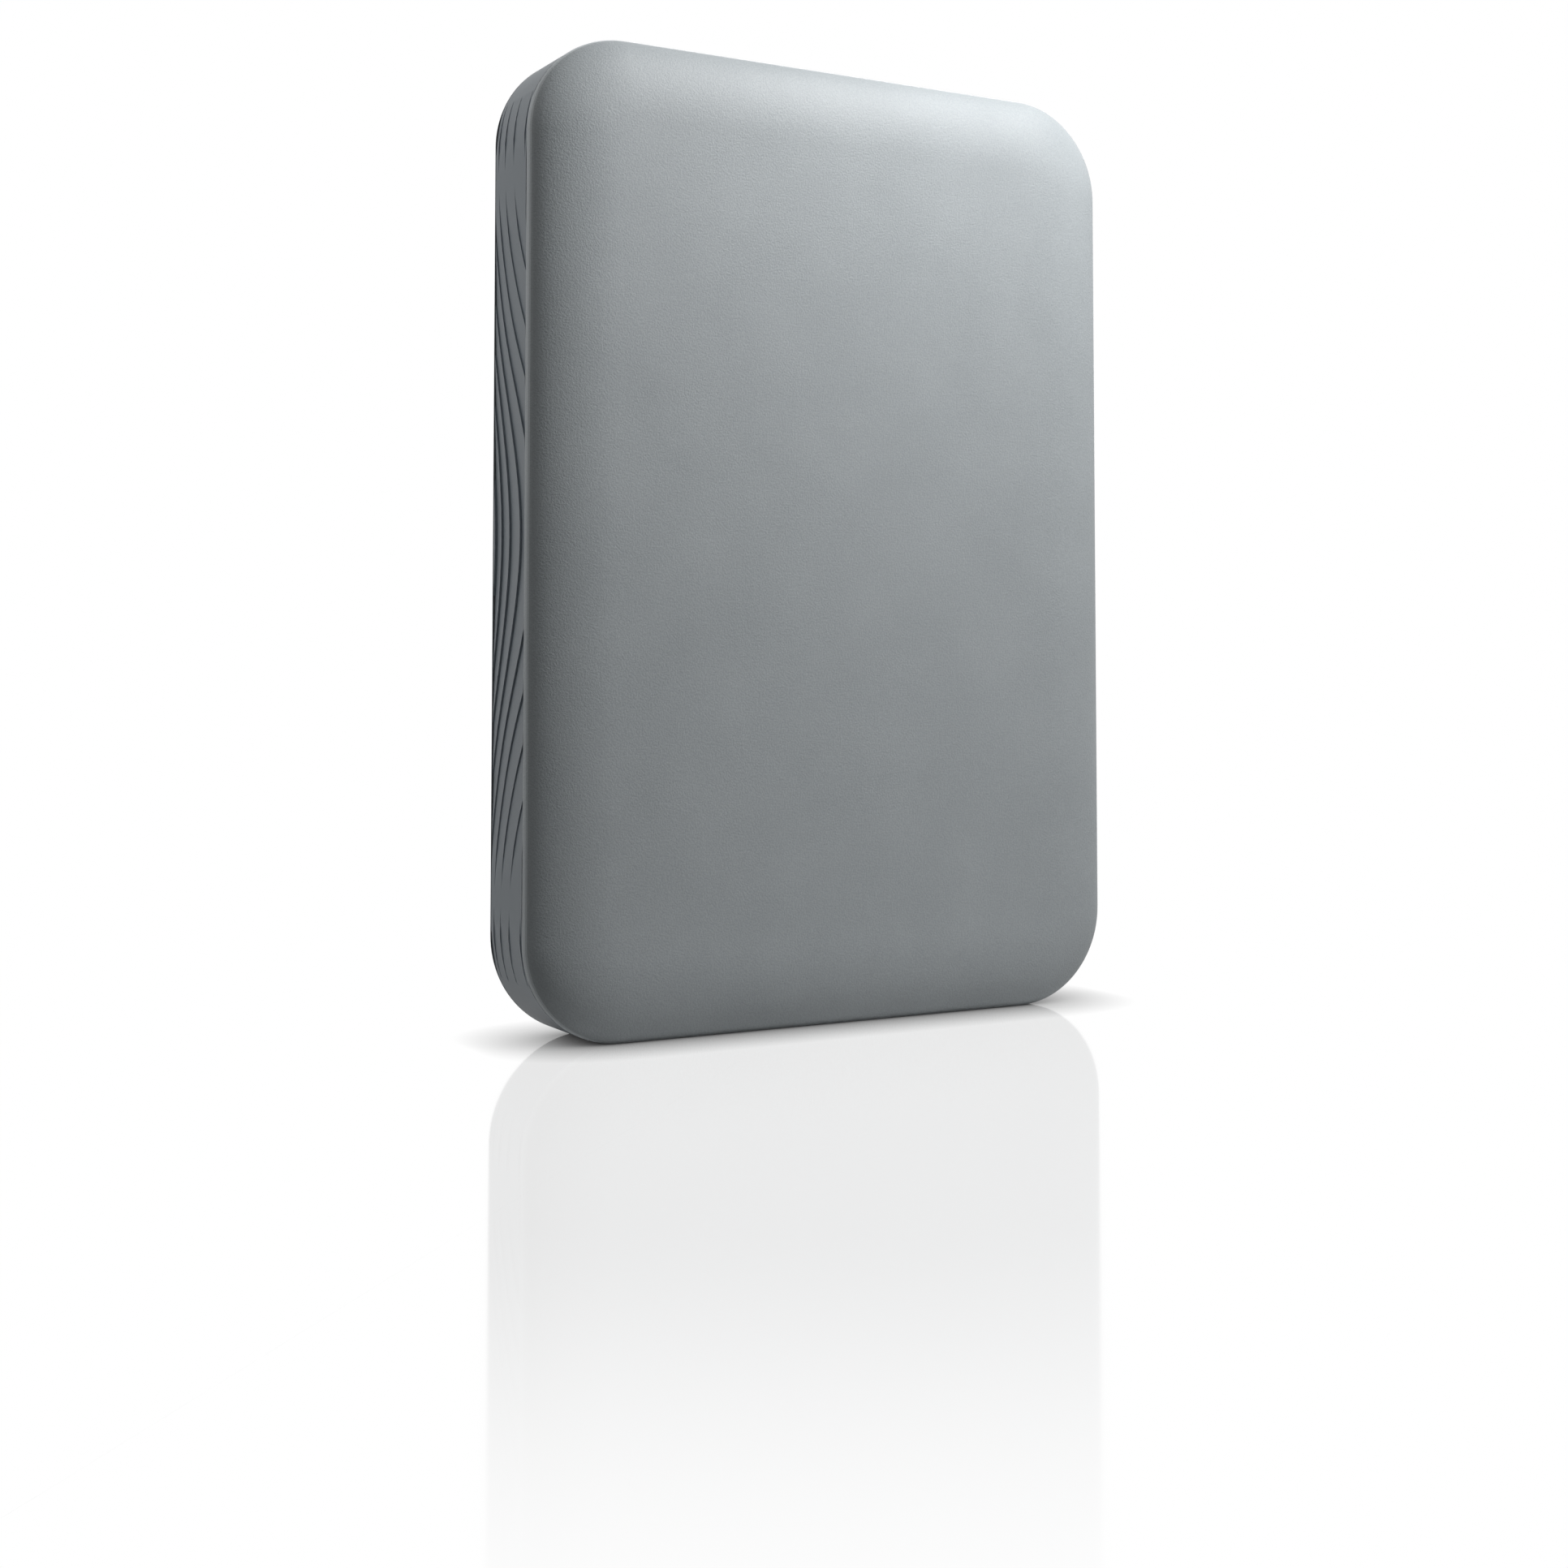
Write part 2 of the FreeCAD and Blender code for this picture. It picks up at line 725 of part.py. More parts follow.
def chamber_blocks(y0, y1):
    """Disc chamber and actuator chamber between two planes."""
    half = drive_half - chamber_side_wall
    low = spindle_z + disc_radius / 2
    corner_x = sata_offset + sata_body_width / 2 + controller_edge_gap + chamber_end_wall
    corner_z = drive_top - sata_body_length - controller_edge_gap - chamber_end_wall
    return [
        disc(spindle_x, spindle_z, disc_radius + disc_side_room, y0, y1),
        block(-half, half, y0, y1, low, corner_z),
        block(corner_x, half, y0, y1, low, drive_top - chamber_end_wall),
    ]


def make_drive_base():
    """Cast base with the chambers, motor well, board pocket and plug notch."""
    base = drive_plate(0, base_rim, drive_back)
    base = base.cut(chamber_blocks(base_rim - cut_over, cavity_floor))
    well_radius = flange_radius + motor_well_room
    base = base.cut(disc(spindle_x, spindle_z, well_radius, cavity_floor - cut_over, motor_floor))
    boss_inner = sleeve_radius + seat_clearance
    stator_seat = motor_floor - stator_boss_height
    boss = ring(spindle_x, spindle_z, boss_inner + stator_boss_wall, boss_inner, stator_seat, motor_floor)
    half_board = controller_width / 2 + controller_edge_gap
    half_plug = sata_body_width / 2 + controller_edge_gap
    board_pocket = block(
        -half_board, half_board, drive_back - controller_pocket, drive_back + cut_over,
        controller_bottom - controller_edge_gap, drive_top + cut_over,
    )
    plug_notch = block(
        sata_offset - half_plug, sata_offset + half_plug,
        controller_inner - sata_body_height - controller_edge_gap, drive_back + cut_over,
        drive_top - sata_body_length - controller_edge_gap, drive_top + cut_over,
    )
    base = base.cut([board_pocket, plug_notch])
    return fused([base, boss] + controller_ledges())


def make_drive_lid():
    """Lid plate of the drive."""
    return drive_plate(0, drive_front, lid_under)


def make_lid_gasket():
    """Seal between the lid and the base rim."""
    outer = drive_plate(gasket_inset, lid_under, base_rim)
    return outer.cut(drive_plate(gasket_inset + gasket_width, lid_under - cut_over, base_rim + cut_over))


def make_bearing_sleeve():
    """Fixed sleeve in which the spindle runs."""
    bore = spindle_radius + running_clearance
    return ring(spindle_x, spindle_z, sleeve_radius, bore, hub_under + spindle_end_room, motor_floor)


def make_motor_stator():
    """Stator ring with radial poles."""
    y1 = motor_floor - stator_boss_height
    y0 = y1 - stator_core_height
    inner = sleeve_radius + seat_clearance
    ring_outer = inner + stator_core_ring
    half_pole = stator_pole_width / 2
    pole_start = inner + stator_core_ring / 2
    pole = block(
        spindle_x + pole_start, spindle_x + rotor_inner - stator_air_gap, y0, y1,
        spindle_z - half_pole, spindle_z + half_pole,
    )
    pieces = [ring(spindle_x, spindle_z, ring_outer, inner, y0, y1)]
    for index in range(stator_poles):
        turned_pole = pole.copy()
        turned_pole.rotate(Vector(spindle_x, 0, spindle_z), Vector(0, 1, 0), 360 * index / stator_poles)
        pieces.append(turned_pole)
    return fused(pieces)


def make_spindle_hub():
    """Hub with the disc seat and flange, turned in one piece with the spindle."""
    seat = disc_bore - seat_clearance
    spindle_end = motor_floor - spindle_end_room
    return turned(spindle_x, spindle_z, [
        (0, disc_front), (seat, disc_front), (seat, disc_back), (flange_radius, disc_back),
        (flange_radius, hub_under), (spindle_radius, hub_under),
        (spindle_radius, spindle_end), (0, spindle_end),
    ])


def make_rotor_magnet():
    """Ring magnet under the hub flange."""
    return ring(spindle_x, spindle_z, rotor_outer, rotor_inner, hub_under, hub_under + magnet_ring_height)


def make_disc():
    """Storage disc."""
    return ring(spindle_x, spindle_z, disc_radius, disc_bore, disc_front, disc_back)


def make_disc_clamp():
    """Cap that holds the disc on the hub."""
    return disc(spindle_x, spindle_z, clamp_radius, clamp_front, disc_front)


def make_pivot_post():
    """Fixed post of the head arm, standing on the chamber floor."""
    return disc(pivot_x, pivot_z, pivot_post_radius, lid_under + yoke_lid_gap, cavity_floor)


def make_pivot_sleeve():
    """Bearing sleeve that turns on the post."""
    bore = pivot_post_radius + running_clearance
    return ring(pivot_x, pivot_z, pivot_sleeve_radius, bore, front_arm, back_arm + arm_thickness)


def arm_point(along, across):
    """Point in the plane of the parked arm, along it and across it from the pivot."""
    turn = math.radians(park_angle)
    x = pivot_x + along * math.cos(turn) - across * math.sin(turn)
    z = pivot_z + along * math.sin(turn) + across * math.cos(turn)
    return (x, z)


def arm_plate(start, end, start_half_width, end_half_width, y0, y1):
    """Tapered plate along the parked arm."""
    corners = [
        arm_point(start, -start_half_width), arm_point(end, -end_half_width),
        arm_point(end, end_half_width), arm_point(start, start_half_width),
    ]
    return prism(corners, y0, y1)


def make_actuator_arms():
    """Hub with an arm on each side of the disc and the paddle that carries the coil."""
    back = back_arm + arm_thickness
    pieces = [disc(pivot_x, pivot_z, arm_hub_radius, front_arm, back)]
    for level in (front_arm, back_arm):
        end = level + arm_thickness
        pieces.append(arm_plate(0, arm_length, arm_root_half_width, arm_tip_half_width, level, end))
    pieces.append(
        sector(
            pivot_sleeve_radius + pivot_sleeve_wall / 2, coil_inner_radius - seat_clearance,
            coil_angle - coil_half_angle, coil_angle + coil_half_angle, coil_front, coil_back,
        )
    )
    bore = disc(pivot_x, pivot_z, pivot_sleeve_radius + seat_clearance, front_arm - cut_over, back + cut_over)
    return fused(pieces).cut(bore)


def make_voice_coil():
    """Flat wound coil between the magnets."""
    middle_radius = (coil_inner_radius + coil_outer_radius) / 2
    window = coil_half_angle - math.degrees(coil_leg / middle_radius)
    outer = sector(
        coil_inner_radius, coil_outer_radius,
        coil_angle - coil_half_angle, coil_angle + coil_half_angle, coil_front, coil_back,
    )
    opening = sector(
        coil_inner_radius + coil_leg, coil_outer_radius - coil_leg,
        coil_angle - window, coil_angle + window, coil_front - cut_over, coil_back + cut_over,
    )
    return outer.cut(opening)


def make_suspension(arm_face, toward):
    """Blade with its slider and lift tab on one face of an arm; toward points from the arm to the disc."""
    def span(start, end):
        near, far = arm_face + toward * start, arm_face + toward * end
        return min(near, far), max(near, far)

    blade_end = head_reach + slider_length / 2
    blade = arm_plate(
        arm_length - blade_root_setback, blade_end, arm_tip_half_width, blade_tip_half_width,
        *span(0, blade_thickness),
    )
    tab = arm_plate(
        blade_end, blade_end + lift_tab_length, lift_tab_half_width, lift_tab_half_width,
        *span(0, blade_thickness),
    )
    slider = arm_plate(
        blade_end - slider_length, blade_end, slider_width / 2, slider_width / 2,
        *span(blade_thickness, blade_thickness + slider_height),
    )
    return fused([blade, tab, slider])


def head_faces():
    """Name, arm face and direction to the disc of each head."""
    return {
        "head_front": (front_arm + arm_thickness, 1),
        "head_back": (back_arm, -1),
    }


def make_lower_yoke():
    """Steel plate on the chamber floor under the coil."""
    return sector(yoke_inner_radius, yoke_outer_radius, yoke_start, yoke_end, lower_yoke_face, cavity_floor)


def make_upper_yoke():
    """Steel plate over the coil, with two legs that stand on the lower yoke."""
    plate = sector(
        yoke_inner_radius, yoke_outer_radius, yoke_start, yoke_end, lid_under + yoke_lid_gap, upper_yoke_face
    )
    legs = []
    for angle in (yoke_start + yoke_post_margin, yoke_end - yoke_post_margin):
        x, z = polar(yoke_outer_radius - yoke_post_inset, angle)
        legs.append(
            block(
                x - yoke_post_half, x + yoke_post_half, upper_yoke_face, lower_yoke_face,
                z - yoke_post_half, z + yoke_post_half,
            )
        )
    return fused([plate] + legs)


def make_coil_magnet(y0):
    """Magnet plate on one yoke, over the whole sweep of the coil."""
    return sector(
        coil_inner_radius, coil_outer_radius, coil_angle - coil_half_angle,
        coil_angle + coil_half_angle + swing_angle, y0, y0 + magnet_thickness,
    )


def make_load_ramp():
    """Comb on the chamber floor whose fingers carry the parked lift tabs."""
    finger_start = head_reach + slider_length / 2 + ramp_slider_gap
    post_start = finger_start + ramp_finger_length
    start, end = park_angle - ramp_behind_angle, park_angle + ramp_ahead_angle
    pieces = [sector(post_start, post_start + ramp_post_width, start, end, front_arm, cavity_floor)]
    for arm_face, toward in head_faces().values():
        near = arm_face + toward * (blade_thickness + ramp_finger_gap)
        far = near + toward * ramp_finger_height
        pieces.append(sector(finger_start, post_start, start, end, min(near, far), max(near, far)))
    return fused(pieces)


def make_flex_bracket():
    """Block that anchors the flexible circuit on the chamber floor."""
    low = pivot_z + flex_bracket_lift
    return block(
        flex_left - flex_bracket_width, flex_left, flex_front, cavity_floor, low, low + flex_bracket_width
    )


def make_head_flex():
    """Flexible circuit: a loop from the bracket to the hub of the arms."""
    y0, y1 = flex_front, back_arm - flex_arm_gap
    radius = flex_loop_width / 2
    x = flex_left + radius
    z = pivot_z + flex_bracket_lift + flex_leg
    upper_half = block(flex_left, flex_left + flex_loop_width, y0, y1, z, z + radius)
    loop = ring(x, z, radius, radius - flex_thickness, y0, y1).common(upper_half)
    left = block(flex_left, flex_left + flex_thickness, y0, y1, z - flex_leg, z)
    right_edge = flex_left + flex_loop_width
    right = block(right_edge - flex_thickness, right_edge, y0, y1, pivot_z - flex_leg, z)
    return fused([loop, left, right])


def make_air_filter():
    """Filter pad in the corner of the actuator chamber."""
    left = -drive_half + chamber_side_wall
    return block(left, left + filter_thickness, front_arm, cavity_floor, pivot_z, pivot_z + filter_length)


def make_controller_board():
    """Circuit board in the pocket on the back of the drive."""
    half = controller_width / 2
    low = controller_bottom
    return block(-half, half, controller_inner, controller_outer, low, drive_top - controller_edge_gap)


def make_controller_chip(offset_x, offset_z, width, height):
    """Chip on the inner side of the controller board, placed from the board's bottom middle."""
    z = controller_bottom + offset_z
    return block(
        offset_x - width / 2, offset_x + width / 2, controller_inner - chip_height, controller_inner,
        z - height / 2, z + height / 2,
    )


def make_sata_plug():
    """Plug of the drive: a body under the board and a blade past the end of the drive."""
    half = sata_body_width / 2
    half_blade = sata_blade_width / 2
    half_thick = sata_blade_thickness / 2
    body = block(
        sata_offset - half, sata_offset + half, controller_inner - sata_body_height, controller_inner,
        drive_top - sata_body_length, drive_top,
    )
    blade = block(
        sata_offset - half_blade, sata_offset + half_blade, sata_plane - half_thick, sata_plane + half_thick,
        drive_top, drive_top + sata_blade_length,
    )
    return fused([body, blade])


def make_sata_receptacle():
    """Receptacle on the bridge board that takes the blade of the plug."""
    half_slot = sata_blade_width / 2 + sata_clearance
    half_thick = sata_blade_thickness / 2 + sata_clearance
    half = half_slot + receptacle_side_wall
    z0 = drive_top + sata_clearance
    body = block(
        sata_offset - half, sata_offset + half, bridge_front - receptacle_height, bridge_front,
        z0, z0 + receptacle_length,
    )
    slot = block(
        sata_offset - half_slot, sata_offset + half_slot, sata_plane - half_thick, sata_plane + half_thick,
        z0 - cut_over, drive_top + sata_blade_length + sata_clearance,
    )
    return body.cut(slot)


def make_bridge_board():
    """Circuit board between the drive and the socket."""
    return block(
        bridge_left, bridge_right, bridge_front, bridge_front + bridge_thickness, bridge_bottom, bridge_top
    )


def make_bridge_part(x, width, length, height):
    """Part on the front of the bridge board, midway between the receptacle and the board's top."""
    z = (drive_top + sata_clearance + receptacle_length + bridge_top) / 2
    return block(
        x - width / 2, x + width / 2, bridge_front - height, bridge_front, z - length / 2, z + length / 2
    )


def make_status_led():
    """Lamp under the light pipe."""
    return block(
        led_x - led_width / 2, led_x + led_width / 2, bridge_front - led_height, bridge_front,
        bridge_top - led_height, bridge_top,
    )


def make_usb_shell():
    """Folded metal shell of the socket."""
    bottom = usb_mouth - usb_length
    shell = upright_prism(usb_outline(0), bottom, usb_mouth)
    return shell.cut(upright_prism(usb_outline(-usb_wall), bottom - cut_over, usb_mouth + cut_over))


def make_usb_tongue():
    """Insulator of the socket: a block at the back and a contact tongue in each lobe."""
    bottom = usb_mouth - usb_length
    top = usb_mouth - usb_tongue_setback
    total = usb_large_width + usb_neck + usb_small_width
    margin = usb_wall + usb_tongue_side_gap
    half_thick = usb_tongue_thickness / 2
    lobes = [
        (usb_x - total / 2, usb_x - total / 2 + usb_large_width),
        (usb_x + total / 2 - usb_small_width, usb_x + total / 2),
    ]
    inside = usb_outline(-usb_wall - seat_clearance)
    pieces = [upright_prism(inside, bottom, bottom + usb_block_length)]
    for left, right in lobes:
        pieces.append(
            block(left + margin, right - margin, usb_plane - half_thick, usb_plane + half_thick, bottom, top)
        )
    return fused(pieces)


def all_parts():
    """Every node by name."""
    parts = {
        "front_cover": make_front_cover(),
        "side_band": make_side_band(),
        "back_cover": make_back_cover(),
        "light_pipe": make_light_pipe(),
        "front_pad": make_front_pad(),
        "back_pad": make_back_pad(),
        "bridge_board": make_bridge_board(),
        "bridge_chip": make_bridge_part(bridge_chip_x, chip_side, chip_side, bridge_chip_height),
        "bridge_crystal": make_bridge_part(crystal_x, crystal_length, crystal_width, crystal_height),
        "status_led": make_status_led(),
        "sata_receptacle": make_sata_receptacle(),
        "usb_shell": make_usb_shell(),
        "usb_tongue": make_usb_tongue(),
        "drive_base": make_drive_base(),
        "drive_lid": make_drive_lid(),
        "lid_gasket": make_lid_gasket(),
        "air_filter": make_air_filter(),
        "bearing_sleeve": make_bearing_sleeve(),
        "motor_stator": make_motor_stator(),
        "spindle_hub": make_spindle_hub(),
        "rotor_magnet": make_rotor_magnet(),
        "storage_disc": make_disc(),
        "disc_clamp": make_disc_clamp(),
        "pivot_post": make_pivot_post(),
        "pivot_sleeve": make_pivot_sleeve(),
        "actuator_arms": make_actuator_arms(),
        "voice_coil": make_voice_coil(),
        "lower_yoke": make_lower_yoke(),
        "upper_yoke": make_upper_yoke(),
        "lower_magnet": make_coil_magnet(lower_yoke_face - magnet_thickness),
        "upper_magnet": make_coil_magnet(upper_yoke_face),
        "load_ramp": make_load_ramp(),
        "flex_bracket": make_flex_bracket(),
        "head_flex": make_head_flex(),
        "controller_board": make_controller_board(),
        "controller_chip": make_controller_chip(*controller_chip_box),
        "motor_driver_chip": make_controller_chip(*motor_driver_box),
        "memory_chip": make_controller_chip(*memory_box),
        "sata_plug": make_sata_plug(),
    }
    for name, (x, z) in foot_places().items():
        parts[name] = make_foot(x, z)
    for end_name, end in (("bottom", -1), ("top", 1)):
        for side_name, side in (("left", -1), ("right", 1)):
            parts[f"bumper_{end_name}_{side_name}"] = make_bumper(side, end)
    for name, (arm_face, toward) in head_faces().items():
        parts[name] = make_suspension(arm_face, toward)
    return parts


os.makedirs("parts", exist_ok=True)
for node, shape in all_parts().items():
    shape.exportStep(f"parts/{node}.step")
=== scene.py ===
"""Looks of a portable external hard drive: its finishes, its rolled covers, the floor, lamps and camera.

Metres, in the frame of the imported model: X across the width, Y from the front face to the back, Z up.
"""

from __future__ import annotations

import logging
import math
from dataclasses import dataclass, field, replace
from enum import Enum
from typing import Callable

import bmesh
import bpy
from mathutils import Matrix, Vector

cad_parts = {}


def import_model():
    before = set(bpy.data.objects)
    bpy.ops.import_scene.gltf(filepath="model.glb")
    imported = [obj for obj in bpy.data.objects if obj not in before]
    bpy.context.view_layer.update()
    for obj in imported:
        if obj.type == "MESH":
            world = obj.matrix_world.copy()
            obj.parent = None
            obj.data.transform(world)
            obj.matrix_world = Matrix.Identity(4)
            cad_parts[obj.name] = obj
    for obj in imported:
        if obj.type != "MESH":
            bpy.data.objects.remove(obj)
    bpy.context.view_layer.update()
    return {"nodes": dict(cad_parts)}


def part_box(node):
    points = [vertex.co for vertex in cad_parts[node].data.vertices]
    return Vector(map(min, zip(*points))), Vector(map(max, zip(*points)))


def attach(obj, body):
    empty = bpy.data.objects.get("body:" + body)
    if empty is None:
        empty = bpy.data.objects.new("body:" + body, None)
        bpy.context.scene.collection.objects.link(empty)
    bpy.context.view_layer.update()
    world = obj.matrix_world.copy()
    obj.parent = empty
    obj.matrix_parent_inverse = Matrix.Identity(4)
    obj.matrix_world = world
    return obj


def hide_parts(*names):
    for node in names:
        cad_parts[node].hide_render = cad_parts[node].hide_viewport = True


LOG = logging.getLogger("drive")
MM = 0.001
Colour = tuple[float, float, float]
Point = tuple[float, float, float]

SPINDLE_MM: Point = (0.0, 0.0, 41.425)
PIVOT_MM: Point = (12.025, 0.0, 85.5)
FOOT_PREFIX = "foot_"
BUMPER_PREFIX = "bumper_"

# Bench work: points closer than this are one, and a direction with this share along Y runs along Y.
SAME_PLACE = 0.001 * MM
ALONG_Y = 0.9
NORMAL_WEIGHT = 60

# Patterns of the finishes: shares of the fine and broad one, and their settings in grains.
FINE_SHARE = 0.65
BROAD_SHARE = 0.35
BRUSH_STRETCH = 0.03
RING_SCALE = 0.3
RING_WOBBLE = 0.2
TRACE_GAP = 0.06
SPECKLE_DETAIL = 3.0
SPECKLE_ROUGHNESS = 0.6
MOTTLES_PER_METRE = 90.0
MOTTLE_DETAIL = 4.0


class Grain(Enum):
    """Pattern that gives a finish its fine detail."""

    SPECKLE = "speckle"
    CELLS = "cells"
    BRUSHED = "brushed"
    RINGS = "rings"
    TRACES = "traces"


class Facing(Enum):
    """Side of the case that a cover closes, as the direction of its face along Y."""

    FRONT = -1
    BACK = 1


class Part(Enum):
    """Body that a piece rides on."""

    HOUSING = "housing"


@dataclass(frozen=True)
class PaintedLightByTilt:
    """Painted light on the faces that tilt: a lighter colour, standing in for a highlight or for light a face
    misses, that comes in between two values of the face direction along Y.
    """

    colour: Colour
    start: float
    full: float


@dataclass(frozen=True)
class Finish:
    """One surface finish, built as a procedural material on Object coordinates.

    Lengths are in millimetres: the grain size is one grain, line or ring, and the relief is its height.
    """

    name: str
    colour: Colour
    second: Colour
    grain: Grain = Grain.SPECKLE
    grain_mm: float = 0.3
    relief_mm: float = 0.02
    relief: float = 0.2
    roughness: tuple[float, float] = (0.45, 0.55)
    metallic: float = 0.0
    specular: float = 0.5
    sheen: float = 0.0
    transmission: float = 0.0
    coat: float = 0.0
    centre_mm: Point = (0.0, 0.0, 0.0)
    # Painted light by face direction, where the finish has it.
    painted_light: PaintedLightByTilt | None = None

    def material(self) -> bpy.types.Material:
        """Builds the finish once and gives it again when asked.

        Returns:
            The material.
        """
        known = bpy.data.materials.get(self.name)
        if known is not None:
            return known
        made = bpy.data.materials.new(self.name)
        made.use_nodes = True
        nodes, links = made.node_tree.nodes, made.node_tree.links
        shader = nodes["Principled BSDF"]
        shader.inputs["Metallic"].default_value = self.metallic
        shader.inputs["Specular IOR Level"].default_value = self.specular
        shader.inputs["Sheen Weight"].default_value = self.sheen
        shader.inputs["Transmission Weight"].default_value = self.transmission
        shader.inputs["Coat Weight"].default_value = self.coat
        fine = self._pattern(nodes, links)
        broad = self._mottle(nodes, links)
        tint = nodes.new("ShaderNodeMix")
        tint.data_type = "RGBA"
        tint.inputs["A"].default_value = (*self.colour, 1.0)
        tint.inputs["B"].default_value = (*self.second, 1.0)
        blend = nodes.new("ShaderNodeMath")
        blend.operation = "MULTIPLY_ADD"
        blend.use_clamp = True
        blend.inputs[1].default_value = FINE_SHARE
        links.new(fine, blend.inputs[0])
        share = nodes.new("ShaderNodeMath")
        share.operation = "MULTIPLY"
        share.inputs[1].default_value = BROAD_SHARE
        links.new(broad, share.inputs[0])
        links.new(share.outputs["Value"], blend.inputs[2])
        links.new(blend.outputs["Value"], tint.inputs["Factor"])
        links.new(self._paint_light_by_tilt(nodes, links, tint.outputs["Result"]), shader.inputs["Base Color"])
        gloss = nodes.new("ShaderNodeMapRange")
        gloss.inputs["To Min"].default_value = self.roughness[0]
        gloss.inputs["To Max"].default_value = self.roughness[1]
        links.new(blend.outputs["Value"], gloss.inputs["Value"])
        links.new(gloss.outputs["Result"], shader.inputs["Roughness"])
        bump = nodes.new("ShaderNodeBump")
        bump.inputs["Strength"].default_value = self.relief
        bump.inputs["Distance"].default_value = self.relief_mm * MM
        links.new(fine, bump.inputs["Height"])
        links.new(bump.outputs["Normal"], shader.inputs["Normal"])
        return made

    def _place(self, nodes: bpy.types.Nodes, links: bpy.types.NodeLinks) -> bpy.types.NodeSocket:
        """Object coordinates in grains, centred on the pattern's own middle.

        Args:
            nodes: nodes of the material.
            links: links of the material.

        Returns:
            The vector socket that a texture reads.
        """
        where = nodes.new("ShaderNodeTexCoord")
        mapping = nodes.new("ShaderNodeMapping")
        per_grain = 1.0 / (self.grain_mm * MM)
        scale = (per_grain, per_grain, per_grain)
        if self.grain is Grain.BRUSHED:
            scale = (per_grain * BRUSH_STRETCH, per_grain, per_grain)
        mapping.inputs["Scale"].default_value = scale
        mapping.inputs["Location"].default_value = tuple(
            -value * MM * factor for value, factor in zip(self.centre_mm, scale)
        )
        links.new(where.outputs["Object"], mapping.inputs["Vector"])
        return mapping.outputs["Vector"]

    def _pattern(self, nodes: bpy.types.Nodes, links: bpy.types.NodeLinks) -> bpy.types.NodeSocket:
        """Fine pattern of the finish.

        Args:
            nodes: nodes of the material.
            links: links of the material.

        Returns:
            A value from 0 to 1.
        """
        place = self._place(nodes, links)
        if self.grain is Grain.CELLS:
            texture = nodes.new("ShaderNodeTexVoronoi")
            texture.inputs["Scale"].default_value = 1.0
            output = texture.outputs["Distance"]
        elif self.grain is Grain.RINGS:
            texture = nodes.new("ShaderNodeTexWave")
            texture.wave_type = "RINGS"
            texture.rings_direction = "Y"
            texture.inputs["Scale"].default_value = RING_SCALE
            texture.inputs["Distortion"].default_value = RING_WOBBLE
            output = texture.outputs["Fac"]
        elif self.grain is Grain.TRACES:
            texture = nodes.new("ShaderNodeTexBrick")
            turn = nodes.new("ShaderNodeVectorRotate")
            turn.rotation_type = "X_AXIS"
            turn.inputs["Angle"].default_value = math.pi / 2
            links.new(place, turn.inputs["Vector"])
            place = turn.outputs["Vector"]
            texture.inputs["Scale"].default_value = 1.0
            texture.inputs["Mortar Size"].default_value = TRACE_GAP
            output = texture.outputs["Fac"]
        else:
            texture = nodes.new("ShaderNodeTexNoise")
            texture.inputs["Scale"].default_value = 1.0
            texture.inputs["Detail"].default_value = SPECKLE_DETAIL
            texture.inputs["Roughness"].default_value = SPECKLE_ROUGHNESS
            output = texture.outputs["Fac"]
        links.new(place, texture.inputs["Vector"])
        return output

    def _mottle(self, nodes: bpy.types.Nodes, links: bpy.types.NodeLinks) -> bpy.types.NodeSocket:
        """Broad, faint unevenness of handled and moulded surfaces.

        Args:
            nodes: nodes of the material.
            links: links of the material.

        Returns:
            A value from 0 to 1.
        """
        where = nodes.new("ShaderNodeTexCoord")
        texture = nodes.new("ShaderNodeTexNoise")
        texture.inputs["Scale"].default_value = MOTTLES_PER_METRE
        texture.inputs["Detail"].default_value = MOTTLE_DETAIL
        links.new(where.outputs["Object"], texture.inputs["Vector"])
        return texture.outputs["Fac"]

    def _paint_light_by_tilt(
        self, nodes: bpy.types.Nodes, links: bpy.types.NodeLinks, plain: bpy.types.NodeSocket
    ) -> bpy.types.NodeSocket:
        """Paints light on the faces that tilt to the front or side, as a lighter colour by face direction, where
        the finish has it.

        Args:
            nodes: nodes of the material.
            links: links of the material.
            plain: colour of the other faces.

        Returns:
            The colour of all faces.
        """
        if self.painted_light is None:
            return plain
        surface = nodes.new("ShaderNodeNewGeometry")
        split = nodes.new("ShaderNodeSeparateXYZ")
        links.new(surface.outputs["True Normal"], split.inputs["Vector"])
        painted_light = nodes.new("ShaderNodeMapRange")
        painted_light.inputs["From Min"].default_value = self.painted_light.start
        painted_light.inputs["From Max"].default_value = self.painted_light.full
        links.new(split.outputs["Y"], painted_light.inputs["Value"])
        mix = nodes.new("ShaderNodeMix")
        mix.data_type = "RGBA"
        mix.inputs["B"].default_value = (*self.painted_light.colour, 1.0)
        links.new(painted_light.outputs["Result"], mix.inputs["Factor"])
        links.new(plain, mix.inputs["A"])
        return mix.outputs["Result"]

    def dress(self, piece: bpy.types.Object) -> None:
        """Puts the finish on a whole piece, in place of what it carries.

        Args:
            piece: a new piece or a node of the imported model.
        """
        made = self.material()
        if not piece.material_slots:
            piece.data.materials.append(made)
        for slot in piece.material_slots:
            slot.material = made


